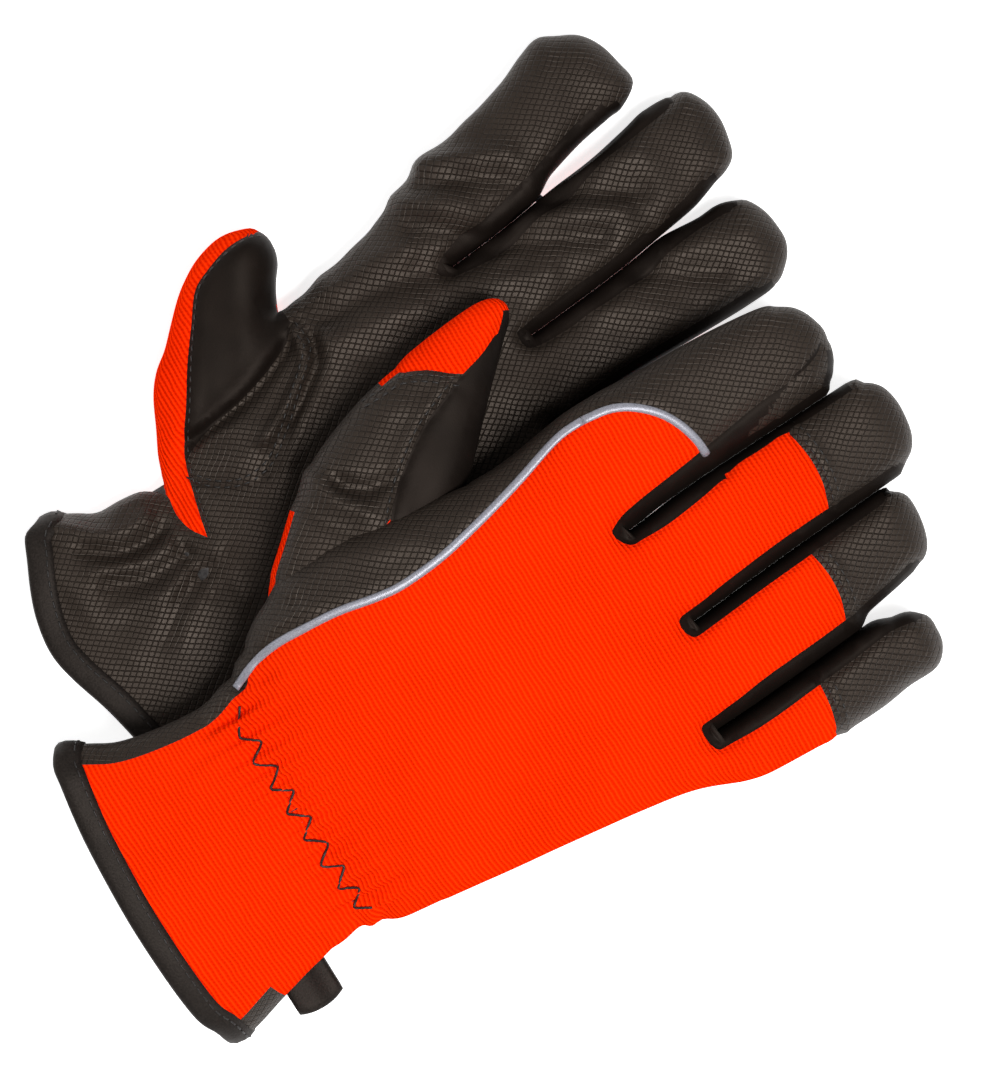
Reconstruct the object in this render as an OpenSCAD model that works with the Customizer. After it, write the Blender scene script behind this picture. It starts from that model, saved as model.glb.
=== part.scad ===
// A pair of work gloves at rest: the left one lies palm up on the table, and the
// right one lies back up, leaning across it. Each glove is a set of thin sewn
// panels around a hollow for the hand. Millimetres, +Z up, +X towards the fingers.

/* [Cloth] */
// Thickness of every sewn panel
cloth_t = 1.6; // [1.2:0.1:2]
// Gap at each seam between neighbouring panels
seam_gap = 0.4; // [0.3:0.1:0.6]
// Roundness of a cross-section, 2 is an ellipse
roundness = 2.4; // [2.1:0.1:2.8]

/* [Height] */
// Height of the right glove over its palm
right_h = 32; // [28:1:34]
// Height of the left glove over its palm
left_h = 24; // [20:1:24]
// Rise of the right glove for each millimetre across, as it leans on the left one
lean = 0.24; // [0.24:0.01:0.3]
// How far a glove's underside is pressed flat
flat_depth = 2; // [1.8:0.1:2.2]

/* [Trim] */
// Width of the tape bound over the cuff's edge
binding_w = 6; // [4:0.5:8]
// Width of the reflective piping
piping_w = 2.6; // [2:0.1:3.5]
// Width of the elastic inside the wrist
elastic_w = 8; // [6:1:12]
// Thickness of that elastic
elastic_t = 1.2; // [0.8:0.1:1.6]
// Reach of the zigzag stitch to each side of the elastic's middle
zigzag_reach = 3.1; // [2:0.1:3.4]
// Number of zigs across the wrist
zigzag_count = 15; // [11:2:19]
// Thickness of the thread
thread_d = 0.7; // [0.5:0.1:1]
// Length of the folded loop along the cuff
loop_l = 14; // [10:1:18]
// How far the folded loop stands out
loop_w = 7; // [5:0.5:9]

/* [Fingers] */
// Angle of a finger's side seams above and below its middle
side_seam = 38; // [30:1:45]
// Gap across each finger's root, where it folds
root_gap = 0.8; // [0.5:0.1:1.5]
// Gap under a piece sewn on top of a panel
raise = 0.2; // [0.2:0.05:0.3]
// Thickness of such a piece
sewn_t = 0.8; // [0.6:0.1:1]

/* [Hidden] */

HIVIS = "orangered";
GRAIN = "#3a3430";
SOFT = "#2a2624";
TAPE = "#1d1a18";
SILVER = "silver";

// Middle of the pair's footprint, measured from the middle of the right cuff
centre = [121.5, 38.9];

// Each finger: root x, root y, direction, length, half width at root and tip, height at root and tip
RIGHT_FINGERS = [
    [168.5, 33.6, 0.3, 76, 15.8, 15.1, 25, 20],
    [168.5, 0.6, 1.9, 82.5, 15.4, 14.8, 25, 21],
    [168.5, -30.6, 3.6, 71.5, 14.1, 12.8, 24, 20],
    [160, -56.0, 0.8, 67, 10.0, 10.2, 21, 18]];
LEFT_FINGERS = [
    [171, 116.2, 11.3, 66, 13.6, 14.4, 20.5, 19],
    [175, 88.2, 7.6, 77, 13.0, 14.2, 20.5, 19],
    [175, 61.8, 2.2, 74, 12.2, 13.6, 20, 18],
    [167, 34.5, -1.5, 60, 11.6, 10.8, 18, 16]];
// Distance from each finger's root to the edge of its tip cap, for the middle, ring and little fingers
CAP_START = [0, 50, 38.5, 29];
// Each hand: x, y of the little finger's edge, y of the thumb's edge, share of the glove's height
RIGHT_HAND = [[-2, -49.5, 47.5, 0.84], [22, -46.5, 38, 0.8], [47, -41.2, 36.2, 0.76], [75, -47, 48.5, 0.93],
    [105, -51, 52, 1], [140, -56.5, 47.3, 0.96], [168, -65.5, 49.6, 0.8]];
LEFT_HAND = [[20, 14, 104.5, 0.92], [42, 17, 96.5, 0.86], [64, 19, 92, 0.74], [90, 16, 104, 0.97],
    [118, 16, 116.5, 1], [145, 18, 121.5, 0.97], [172, 22.5, 130, 0.9]];
// Each thumb: its outer and inner edges, as start, control point and end, then its height at root and tip
RIGHT_THUMB = [[[67, 53.2], [100, 76], [163.6, 91.5]], [[121, 55], [142, 57], [172.4, 72.5]], 40, 35];
LEFT_THUMB = [[[66, 95.8], [88, 128], [113.5, 144.8]], [[117, 118.2], [119.5, 123], [127, 127.7]], 12.4, 13];
// Half thickness of a thumb at its root and near its tip, and the share of its length that is its round tip
thumb_root_t = 11;
thumb_tip_t = 9.5;
thumb_cap = 0.2;
// A thumb's length, roughly, which turns an inset into a share of it
thumb_l = 70;
// Seam between the back panel and the index side panel: place from wrist to knuckles, share of the half width
PIPING = [[-0.5, 0.84], [-0.24, 0.93], [-0.04, 0.83], [0.07, 0.87], [0.17, 0.84], [0.36, 0.7],
    [0.5, 0.655], [0.69, 0.78], [0.85, 0.9], [1, 0.93]];
piping_start = 0.07;
// The piping ends as an arc on the index finger: its radius, and its centre along and across the finger
arc_r = 24.6;
arc_centre = [3.5, -12.6];
// How much of the arc's quarter turn the knuckle piece follows
arc_turn = 78;
// Half height of the hole for the thumb, as an angle on the hand's cross-section
thumb_hole = 20;
// Reach past a finger's side within which the hand's far edge keeps to that finger's root
crotch_reach = 4;
// Degrees in one radian
rad = 57.3;
// Step between the cuff's panels and the tape bound over their edge
edge_step = 0.6;
// The folded loop: its place from the cuff's edge, its height, and its tape's thickness
loop_x = 21;
loop_t = 2.8;
tape_t = 1.2;

// A glove: hand, fingers, thumb, height, 1 with its back up or -1 with its palm up,
// lean, the line that the lean starts from, wrist x, knuckle x, curve of the cuff's edge
RIGHT = [RIGHT_HAND, RIGHT_FINGERS, RIGHT_THUMB, right_h, 1, lean, -66, 47.5, 168, 9];
LEFT = [LEFT_HAND, LEFT_FINGERS, LEFT_THUMB, left_h, -1, 0, 0, 64, 172, 14];
function hand(g) = g[0];
function finger(g, f) = g[1][f];
function thumb(g) = g[2];
function facing(g) = g[4];
function wrist(g) = g[7];
function knuckle(g) = g[8];

// Smooth value of column c of a table at x
function span(x, t, i = 0) = (i >= len(t) - 2 || x < t[i + 1][0]) ? i : span(x, t, i + 1);
function slope(t, k, c) =
    let (a = max(k - 1, 0), b = min(k + 1, len(t) - 1)) (t[b][c] - t[a][c]) / (t[b][0] - t[a][0]);
function smooth(x, t, c) =
    let (i = span(x, t), h = t[i + 1][0] - t[i][0], s = (x - t[i][0]) / h)
    (2 * s ^ 3 - 3 * s ^ 2 + 1) * t[i][c] + (s ^ 3 - 2 * s ^ 2 + s) * h * slope(t, i, c)
    + (3 * s ^ 2 - 2 * s ^ 3) * t[i + 1][c] + (s ^ 3 - s ^ 2) * h * slope(t, i + 1, c);
function mix(a, b, s) = a + (b - a) * s;

// Rounded cross-section: cosine or sine bent to a superellipse, and its inverse
function bend(c) = sign(c) * pow(abs(c), 2 / roundness);
function unbend(c) = sign(c) * pow(abs(c), roundness / 2);

// Settles a point of a cross-section: pressed flat at the bottom, then leaned
function settle(g, x, y, z, inset) =
    [x - centre[0], y - centre[1], max(z, inset, 0) + g[5] * (y - g[6])];

// Point on a hand at x, at angle a (0 thumb side, 90 back, 180 little finger side, 270 palm)
function hand_point(g, x, a, inset) =
    let (lo = smooth(x, hand(g), 1), hi = smooth(x, hand(g), 2), h = g[3] * smooth(x, hand(g), 3),
         y = (lo + hi) / 2 + ((hi - lo) / 2 - inset) * bend(cos(a)),
         z = (g[3] - flat_depth) / 2 + facing(g) * ((h + flat_depth) / 2 - inset) * bend(sin(a)))
    settle(g, x, y, z, inset);

// The cuff's edge at angle a, and the hand's far edge, which keeps clear of every finger's root
function cuff_x(g, a) = hand(g)[0][0] + g[9] * bend(abs(cos(a))) ^ 2;
function far_x(g, a) =
    let (lo = smooth(165, hand(g), 1), hi = smooth(165, hand(g), 2), y = mix(lo, hi, (bend(cos(a)) + 1) / 2))
    min([for (f = [0 : 3]) let (k = finger(g, f)) if (abs(y - k[1]) < k[4] + crotch_reach) k[0]]) - root_gap;
function hand_x(g, s, a) = mix(cuff_x(g, a) + seam_gap, far_x(g, a), s);

// Angle of the seam under the piping, at x on the hand
function piping_angle(g, x) =
    acos(unbend(smooth((x - wrist(g)) / (knuckle(g) - wrist(g)), PIPING, 1)));

// Angle from the hand's side to the edge of the thumb's hole, at x
function hole_angle(g, x) =
    let (from = thumb(g)[0][0][0], to = thumb(g)[1][0][0], q = (2 * x - from - to) / (to - from))
    abs(q) < 1 ? thumb_hole * sqrt(1 - q ^ 2) : 0;

// Point on a finger: s along it from 0 at the root to 1 at the tip, at angle a
function finger_point(g, f, s, a, inset) =
    let (k = finger(g, f), length = k[3] - inset, run = s * length, cap = k[5] * 0.95,
         t = max(0, (run - (length - cap)) / cap), round = max(0.14, pow(1 - t ^ 2.3, 1 / 2.3)),
         w = (mix(k[4], k[5], s) - inset) * round, h = mix(k[6], k[7], s), hh = (h / 2 - inset) * round,
         across = w * bend(cos(a)), along = run + across * tan(k[2]) * (1 - s),
         up = mix(g[3], k[7], s) / 2 + facing(g) * hh * bend(sin(a)))
    settle(g, k[0] + along * cos(k[2]) - across * sin(k[2]),
        k[1] + along * sin(k[2]) + across * cos(k[2]), up, inset);

// The arc seam on the index finger: place along the finger at turn t, and angle at place s
arc_start = -asin(arc_centre[0] / arc_r);
function arc_place(g, t) = (arc_centre[0] + arc_r * sin(mix(arc_start, arc_turn, t))) / finger(g, 0)[3];
function across_angle(across) = acos(unbend(max(-1, min(1, across / finger(RIGHT, 0)[4]))));
function arc_angle(g, s) =
    let (run = s * finger(g, 0)[3] - arc_centre[0])
    run >= arc_r ? 180 - side_seam :
    min(180 - side_seam, across_angle(arc_centre[1] + sqrt(arc_r ^ 2 - run ^ 2)));

// Point on a thumb: s from the root, which lies along the hand's side, to the tip; angle 0 is its outer edge
function bezier(p, q) = p[0] * (1 - q) ^ 2 + p[1] * 2 * q * (1 - q) + p[2] * q ^ 2;
function thumb_point(g, s, a, inset) =
    let (k = thumb(g), q = s * (1 - inset / thumb_l), t = max(0, (s - 1 + thumb_cap) / thumb_cap),
         round = max(0.16, pow(1 - min(1, t) ^ 2.3, 1 / 2.3)), outer = bezier(k[0], q), inner = bezier(k[1], q),
         side = (outer - inner) / 2, share = (1 - inset / norm(side)) * round * bend(cos(a)),
         p = (outer + inner) / 2 + side * share,
         thick = (mix(thumb_root_t, thumb_tip_t, q) - inset) * round,
         up = mix(k[2], k[3], q) + facing(g) * thick * bend(sin(a)))
    [p[0] - centre[0], p[1] - centre[1], max(inset, up)];

// Place along a finger or thumb of step u: places bunch up towards the tip, where the sheet turns over
function towards_tip(s0, u) = 1 - (1 - s0) * (1 - u) ^ 1.5;

// A solid sheet: P(u, v, 0) is its outer surface and P(u, v, 1) its inner one
module sheet(P, nu, nv, flip) {
    n = (nu + 1) * (nv + 1);
    function id(k, i, j) = k * n + i * (nv + 1) + j;
    points = [for (k = [0, 1]) for (i = [0 : nu]) for (j = [0 : nv]) P(i / nu, j / nv, k)];
    skins = [for (i = [0 : nu - 1]) for (j = [0 : nv - 1]) each [
        [id(0, i, j), id(0, i + 1, j), id(0, i + 1, j + 1), id(0, i, j + 1)],
        [id(1, i, j), id(1, i, j + 1), id(1, i + 1, j + 1), id(1, i + 1, j)]]];
    ends = [for (j = [0 : nv - 1]) each [
        [id(0, 0, j), id(0, 0, j + 1), id(1, 0, j + 1), id(1, 0, j)],
        [id(0, nu, j + 1), id(0, nu, j), id(1, nu, j), id(1, nu, j + 1)]]];
    sides = [for (i = [0 : nu - 1]) each [
        [id(0, i + 1, 0), id(0, i, 0), id(1, i, 0), id(1, i + 1, 0)],
        [id(0, i, nv), id(0, i + 1, nv), id(1, i + 1, nv), id(1, i, nv)]]];
    triangles = [for (q = concat(skins, ends, sides)) each [[q[0], q[1], q[2]], [q[0], q[2], q[3]]]];
    polyhedron(points, flip ? triangles : [for (t = triangles) [t[2], t[1], t[0]]]);
}

// A closed ring of square section: P(v, i) is corner i of its section at turn v
module ring(P, turns, flip) {
    points = [for (j = [0 : turns - 1]) for (i = [0 : 3]) P(j / turns, i)];
    quads = [for (j = [0 : turns - 1]) for (i = [0 : 3])
        let (m = (j + 1) % turns, n = (i + 1) % 4) [j * 4 + i, m * 4 + i, m * 4 + n, j * 4 + n]];
    triangles = [for (q = quads) each [[q[0], q[1], q[2]], [q[0], q[2], q[3]]]];
    polyhedron(points, flip ? triangles : [for (t = triangles) [t[2], t[1], t[0]]]);
}

// Half of the seam gap as an angle on a section of half width w
function gap_angle(w) = seam_gap / 2 / w * rad;

// A panel of the hand between two angles, each of them a function of x
module hand_sheet(g, from, to, nu, nv)
    sheet(function(u, v, k)
        let (at = hand_x(g, u, 90), a = mix(from(at), to(at), v))
        hand_point(g, hand_x(g, u, a), a, k * cloth_t), nu, nv, facing(g) > 0);

module back_panel(g) color(HIVIS)
    hand_sheet(g, function(x) piping_angle(g, x) + gap_angle(45), function(x) 180 - gap_angle(20), 18, 18);

module index_side_panel(g) color(GRAIN)
    hand_sheet(g, function(x) max(gap_angle(20), hole_angle(g, x)),
        function(x) piping_angle(g, x) - gap_angle(45), 18, 4);

module palm_panel(g) color(GRAIN)
    hand_sheet(g, function(x) 180 + gap_angle(20),
        function(x) 360 - max(gap_angle(20), hole_angle(g, x)), 18, 18);

// Raised strip along the piping's seam, from the wrist to the knuckles
module reflective_piping(g) color(SILVER)
    sheet(function(u, v, k)
        let (x = mix(mix(wrist(g), knuckle(g), piping_start), far_x(g, 45) - root_gap, u),
             a = piping_angle(g, x) + (v - 0.5) * piping_w / 50 * rad)
        hand_point(g, x, a, k ? -raise : -raise - sewn_t), 18, 1, facing(g) > 0);

// The same strip where it rounds the index finger's knuckle
module knuckle_piping(g) color(SILVER)
    sheet(function(u, v, k)
        let (turn = mix(arc_start + 4, arc_turn, u), r = arc_r + (0.5 - v) * piping_w,
             s = (arc_centre[0] + r * sin(turn)) / finger(g, 0)[3])
        finger_point(g, 0, s, across_angle(arc_centre[1] + r * cos(turn)), k ? -raise : -raise - sewn_t),
        12, 2, facing(g) > 0);

// Tape bound over the cuff's edge
module cuff_binding(g) color(TAPE)
    ring(function(v, i)
        let (a = 360 * v, step = (i == 1 || i == 2) ? cloth_t + edge_step : -edge_step)
        hand_point(g, cuff_x(g, a), a, step) - [i < 2 ? 0 : binding_w, 0, 0], 40, facing(g) < 0);

// Elastic inside the wrist
module wrist_elastic(g) color(SOFT)
    ring(function(v, i)
        hand_point(g, wrist(g) + elastic_w * (i < 2 ? 0.5 : -0.5), 360 * v,
            cloth_t + edge_step + ((i == 1 || i == 2) ? elastic_t : 0)), 40, facing(g) < 0);

// One thread that zigzags across the back, over the elastic
module zigzag_thread(g) color(TAPE)
    sheet(function(u, v, k)
        let (n = round(u * zigzag_count), a = mix(piping_angle(g, wrist(g)) + 6, 160, u),
             x = wrist(g) + zigzag_reach * (n % 2 ? 1 : -1) + (v - 0.5) * thread_d * 1.6)
        hand_point(g, x, a, k ? -raise : -raise - thread_d), zigzag_count, 1, facing(g) < 0);

// Short folded loop of tape at the little finger's side of the cuff
module cuff_loop(g) color(TAPE)
    let (x = hand(g)[0][0] + loop_x, edge = min(smooth(x, hand(g), 1), smooth(x + loop_l, hand(g), 1)),
         p = settle(g, x, edge - loop_w - seam_gap, 0, 0), up = g[3] * 0.34 + g[5] * (edge - g[6] - loop_w / 2))
    translate([p[0], p[1], up]) difference() {
        cube([loop_l, loop_w, loop_t]);
        translate([-1, tape_t, tape_t]) cube([loop_l + 2, loop_w, loop_t - 2 * tape_t]);
    }

// Thumb panels: the back, the palm side, and the patch sewn over the back's lower part
module thumb_sheet(g, u0, u1, a0, a1, outer, inner, nu, nv)
    sheet(function(u, v, k)
        thumb_point(g, towards_tip(0, mix(u0, u1, u)), mix(a0, a1, v), k ? inner : outer),
        nu, nv, facing(g) > 0);
module thumb_back(g) color(HIVIS) thumb_sheet(g, 0, 1, 12, 174, 0, cloth_t, 12, 6);
module thumb_palm(g) color(SOFT) thumb_sheet(g, 0, 1, 180, 366, 0, cloth_t, 12, 7);
module thumb_patch(g) color(GRAIN) thumb_sheet(g, 1 / 12, 7 / 12, 39, 147, -raise - sewn_t, -raise, 6, 4);

// Crescent sewn on the palm, where the thumb leaves it
module saddle_patch(g) color(GRAIN)
    sheet(function(u, v, k)
        let (x = mix(thumb(g)[0][0][0] + 13, thumb(g)[1][0][0] + 7, u), edge = 355 - hole_angle(g, x))
        hand_point(g, x, mix(edge - 5 - 24 * sin(180 * u), edge, v), -raise * 3 - (k ? 0 : sewn_t)),
        12, 8, facing(g) > 0);

// A panel of a finger: place(u) runs along it, and from(s) and to(s) are its angles
module finger_sheet(g, f, place, from, to, nu, nv)
    sheet(function(u, v, k) let (s = place(u)) finger_point(g, f, s, mix(from(s), to(s), v), k * cloth_t),
        nu, nv, facing(g) > 0);

function low_seam(f) = f == 0 ? gap_angle(12) : side_seam + gap_angle(12);
function high_seam(f) = f == 3 ? 180 - gap_angle(12) : 180 - side_seam - gap_angle(12);
function cap_share(f) = CAP_START[f] / finger(RIGHT, f)[3];

// Back of the middle, ring or little finger, up to its tip cap
module finger_back(g, f) color(HIVIS)
    finger_sheet(g, f, function(u) u * (cap_share(f) - 0.004),
        function(s) low_seam(f), function(s) high_seam(f), 6, 4);

module tip_cap(g, f) color(GRAIN)
    finger_sheet(g, f, function(u) towards_tip(cap_share(f) + 0.004, u),
        function(s) low_seam(f), function(s) high_seam(f), 9, 4);

// Back of the index finger, which has no cap: it passes round the knuckle piece
module index_back(g) color(GRAIN)
    finger_sheet(g, 0, function(u) u < 0.5 ? arc_place(g, u * 2) : towards_tip(arc_place(g, 1), u * 2 - 1),
        function(s) low_seam(0), function(s) arc_angle(g, s) - gap_angle(12), 20, 4);

// The back panel's tongue that reaches onto the index finger, inside the piping's arc
module index_knuckle(g) color(HIVIS)
    finger_sheet(g, 0, function(u) arc_place(g, u), function(s) arc_angle(g, s) + gap_angle(12),
        function(s) high_seam(0), 10, 4);

module finger_palm(g, f) color(GRAIN)
    finger_sheet(g, f, function(u) towards_tip(0, u),
        function(s) f == 3 ? 180 + gap_angle(12) : 180 + side_seam + gap_angle(12),
        function(s) f == 0 ? 360 - gap_angle(12) : 360 - side_seam - gap_angle(12), 12, 5);

// Side walls of a finger, only where it faces another finger
module fourchettes(g, f) color(SOFT) {
    if (f < 3) finger_sheet(g, f, function(u) towards_tip(0, u), function(s) 180 - side_seam + gap_angle(12),
        function(s) 180 + side_seam - gap_angle(12), 12, 2);
    if (f > 0) finger_sheet(g, f, function(u) towards_tip(0, u), function(s) -side_seam + gap_angle(12),
        function(s) side_seam - gap_angle(12), 12, 2);
}

back_panel(RIGHT);  // right_back_panel
index_side_panel(RIGHT);  // right_index_side_panel
palm_panel(RIGHT);  // right_palm_panel
reflective_piping(RIGHT);  // right_reflective_piping
cuff_binding(RIGHT);  // right_cuff_binding
wrist_elastic(RIGHT);  // right_wrist_elastic
zigzag_thread(RIGHT);  // right_zigzag_thread
cuff_loop(RIGHT);  // right_cuff_loop
thumb_back(RIGHT);  // right_thumb_back
thumb_palm(RIGHT);  // right_thumb_palm
thumb_patch(RIGHT);  // right_thumb_patch
saddle_patch(RIGHT);  // right_saddle_patch
index_knuckle(RIGHT);  // right_index_knuckle
knuckle_piping(RIGHT);  // right_knuckle_piping
index_back(RIGHT);  // right_index_back
finger_palm(RIGHT, 0);  // right_index_palm
fourchettes(RIGHT, 0);  // right_index_fourchette
finger_back(RIGHT, 1);  // right_middle_back
tip_cap(RIGHT, 1);  // right_middle_tip_cap
finger_palm(RIGHT, 1);  // right_middle_palm
fourchettes(RIGHT, 1);  // right_middle_fourchettes
finger_back(RIGHT, 2);  // right_ring_back
tip_cap(RIGHT, 2);  // right_ring_tip_cap
finger_palm(RIGHT, 2);  // right_ring_palm
fourchettes(RIGHT, 2);  // right_ring_fourchettes
finger_back(RIGHT, 3);  // right_little_back
tip_cap(RIGHT, 3);  // right_little_tip_cap
finger_palm(RIGHT, 3);  // right_little_palm
fourchettes(RIGHT, 3);  // right_little_fourchette
back_panel(LEFT);  // left_back_panel
index_side_panel(LEFT);  // left_index_side_panel
palm_panel(LEFT);  // left_palm_panel
reflective_piping(LEFT);  // left_reflective_piping
cuff_binding(LEFT);  // left_cuff_binding
wrist_elastic(LEFT);  // left_wrist_elastic
zigzag_thread(LEFT);  // left_zigzag_thread
cuff_loop(LEFT);  // left_cuff_loop
thumb_back(LEFT);  // left_thumb_back
thumb_palm(LEFT);  // left_thumb_palm
thumb_patch(LEFT);  // left_thumb_patch
saddle_patch(LEFT);  // left_saddle_patch
index_knuckle(LEFT);  // left_index_knuckle
knuckle_piping(LEFT);  // left_knuckle_piping
index_back(LEFT);  // left_index_back
finger_palm(LEFT, 0);  // left_index_palm
fourchettes(LEFT, 0);  // left_index_fourchette
finger_back(LEFT, 1);  // left_middle_back
tip_cap(LEFT, 1);  // left_middle_tip_cap
finger_palm(LEFT, 1);  // left_middle_palm
fourchettes(LEFT, 1);  // left_middle_fourchettes
finger_back(LEFT, 2);  // left_ring_back
tip_cap(LEFT, 2);  // left_ring_tip_cap
finger_palm(LEFT, 2);  // left_ring_palm
fourchettes(LEFT, 2);  // left_ring_fourchettes
finger_back(LEFT, 3);  // left_little_back
tip_cap(LEFT, 3);  // left_little_tip_cap
finger_palm(LEFT, 3);  // left_little_palm
fourchettes(LEFT, 3);  // left_little_fourchette
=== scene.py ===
"""A pair of work gloves: the left one palm up on the table, the right one back up, leaning across it.

Each glove is one skin, inflated from its flat outline and cut along its seams into panels. Lengths are in
millimetres, measured from the middle of the right glove's cuff, until place() puts them in the row frame.
"""
import math

import bpy
import numpy as np
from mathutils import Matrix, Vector
from mathutils.bvhtree import BVHTree
from mathutils.geometry import delaunay_2d_cdt


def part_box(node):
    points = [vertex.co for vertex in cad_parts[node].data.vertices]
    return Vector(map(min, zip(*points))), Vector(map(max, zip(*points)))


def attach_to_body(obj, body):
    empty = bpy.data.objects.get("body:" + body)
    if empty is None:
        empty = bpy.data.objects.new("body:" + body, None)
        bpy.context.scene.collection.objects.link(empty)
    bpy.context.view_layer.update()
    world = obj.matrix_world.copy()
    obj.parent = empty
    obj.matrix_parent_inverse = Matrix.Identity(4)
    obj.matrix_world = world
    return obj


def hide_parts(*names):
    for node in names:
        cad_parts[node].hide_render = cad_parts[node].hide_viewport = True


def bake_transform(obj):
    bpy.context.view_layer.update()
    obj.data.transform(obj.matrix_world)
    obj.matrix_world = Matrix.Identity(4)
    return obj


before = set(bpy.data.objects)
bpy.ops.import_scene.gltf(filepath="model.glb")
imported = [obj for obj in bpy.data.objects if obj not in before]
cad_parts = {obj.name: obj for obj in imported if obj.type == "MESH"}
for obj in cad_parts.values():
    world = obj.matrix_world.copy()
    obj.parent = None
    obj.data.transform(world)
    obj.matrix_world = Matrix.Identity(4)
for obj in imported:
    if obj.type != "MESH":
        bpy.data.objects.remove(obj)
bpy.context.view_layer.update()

MM = 0.001
# the row's origin, the middle of the pair's footprint, seen from the middle of the right cuff
FOOTPRINT_MIDDLE = np.array([121.5, 38.9, 0.0])
CLOTH_T = 1.1
ROUNDNESS = 2.4
# the skin's rounded side runs between these angles of its cross-section
SIDE_ANGLES = (36, 24, 12, 0, -12, -24, -36)
SIDE_SHARE = 1 - math.cos(math.radians(SIDE_ANGLES[0])) ** (2 / ROUNDNESS)
HAND_R = 34
POINT_GAP = 1.5
# the flat sheets' grid of points: how far each is moved at random, and kept from the edge and from a seam
GRID_JITTER = 0.12
EDGE_CLEAR = 1.0
SEAM_CLEAR = 2.3
# rows of points that run beside each seam
BESIDE_SEAM = (1.7, 0.85, -0.85, -1.7)
# where the fingers begin, and how far along the hand a side strip takes its label from the outline itself
FINGERS_FROM = 150
OUTER_LABELS_TO = 140
rng = np.random.default_rng(7)


# ---- lines and fields

def curve(points, step=1.5):
    """A smooth line through points, with a point about every step."""
    p = np.array(points, float)
    ends = np.vstack([2 * p[0] - p[1], p, 2 * p[-1] - p[-2]])
    out = []
    for a, b, c, d in zip(ends, ends[1:], ends[2:], ends[3:]):
        n = max(1, round(float(np.linalg.norm(c - b)) / step))
        t = (np.arange(n) / n)[:, None]
        out.append(0.5 * (2 * b + (c - a) * t + (2 * a - 5 * b + 4 * c - d) * t ** 2
                          + (3 * b - 3 * c + d - a) * t ** 3))
    return np.vstack(out + [p[-1:]])


def pairs(text):
    """Points written as x,y pairs."""
    return [tuple(map(float, pair.split(","))) for pair in text.split()]


def drawn(text, step=1.2):
    """A smooth line through points written as x,y pairs."""
    return curve(pairs(text), step)


def smoothstep(low, high, x):
    t = np.clip((np.asarray(x, float) - low) / (high - low), 0, 1)
    return t * t * (3 - 2 * t)


def at(x, table):
    """Value of a [(x, value), ...] table at x, eased between its points."""
    xs, values = np.array(table, float).T
    x = np.clip(np.asarray(x, float), xs[0], xs[-1])
    i = np.clip(np.searchsorted(xs, x, side="right") - 1, 0, len(xs) - 2)
    t = (x - xs[i]) / (xs[i + 1] - xs[i])
    return values[i] + (values[i + 1] - values[i]) * t * t * (3 - 2 * t)


def line_distance(points, line):
    """Distance from each point to a line."""
    a, b = line[:-1, :2], line[1:, :2]
    span = b - a
    length2 = np.maximum((span ** 2).sum(1), 1e-12)
    best = np.full(len(points), np.inf)
    for start in range(0, len(points), 2000):
        p = points[start:start + 2000, None, :2]
        t = np.clip(((p - a) * span).sum(2) / length2, 0, 1)
        gap = np.linalg.norm(p - a - t[..., None] * span, axis=2)
        best[start:start + 2000] = gap.min(1)
    return best


def inside(points, polygon):
    """Which points lie inside a closed polygon."""
    x, y = points[:, 0], points[:, 1]
    result = np.zeros(len(points), bool)
    for (x0, y0), (x1, y1) in zip(polygon, np.roll(polygon, -1, axis=0)):
        if y0 != y1:
            crossing = (y0 > y) != (y1 > y)
            result ^= crossing & (x < (x1 - x0) * (y - y0) / (y1 - y0) + x0)
    return result


def side_of(line, x):
    """y of a line that runs along x, at x."""
    return np.interp(x, line[:, 0], line[:, 1])


def place(points):
    """Millimetres from the right cuff's middle to metres in the row frame."""
    return (np.asarray(points, float) - FOOTPRINT_MIDDLE) * MM


# ---- the gloves' patterns

# Every line runs from the cuff out along the little finger's side, and ends at the cuff's thumb side.
RIGHT_OUTLINE = pairs("""-0.4,-48.8 6.5,-49.2 20.2,-45.5 33,-42.5 47.1,-40.2 56.7,-44.9 70,-46.5 90,-49.5 110,-52
    129.9,-55 145,-57.8 159.9,-63.5 172,-65.2 200,-66.3 212,-65.3 221.5,-64.7 226,-60.3 227,-55 226.2,-50
    222.2,-46.7 214,-45.5 203,-45.2 185,-45.8 168,-46.8 160.4,-47.2 159.5,-46.4 160.6,-45.6 168,-44.6 185,-43.9
    203,-43.3 213,-41.1 225,-39.2 232.8,-37.2 236.6,-34 238.3,-29.8 239.1,-24 238.6,-18.8 235.4,-15.6 231,-14.3
    215,-14.6 195,-15.8 178,-17 170.6,-17.8 169.5,-17 170.8,-16.2 180,-14.9 200,-14 220,-13 238,-11.8 245,-9.8
    248.3,-5.6 249.5,0.2 249.5,5.7 247.8,10.8 243.9,14.2 238,15.5 225,15.7 205,15.2 185,13.9 174,12.8 168.3,12.9
    167.4,13.8 168.6,14.7 176,15.5 190,16.4 210,17 228,17.4 235.8,18.8 239.7,22.9 242,29.4 241.1,36.3 238.3,41.3
    234,44.3 228.8,46.7 210,48.9 190,49.6 170,50.4 160,49.5 150,48.1 140,47.7 130,49 120,50.6 110,52.2 100,53.8
    90,54.6 81,53.6 75,51 68,46.8 60,41.2 52,37 45,35.6 35,35.8 20.2,38.8 12,43.6 6.2,46.9""")
RIGHT_CUFF = pairs("6.2,46.9 2.7,36.6 0.2,21.3 -2.1,-0.1 -2.8,-19.7 -2.4,-37.6 -0.4,-48.8")
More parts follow.
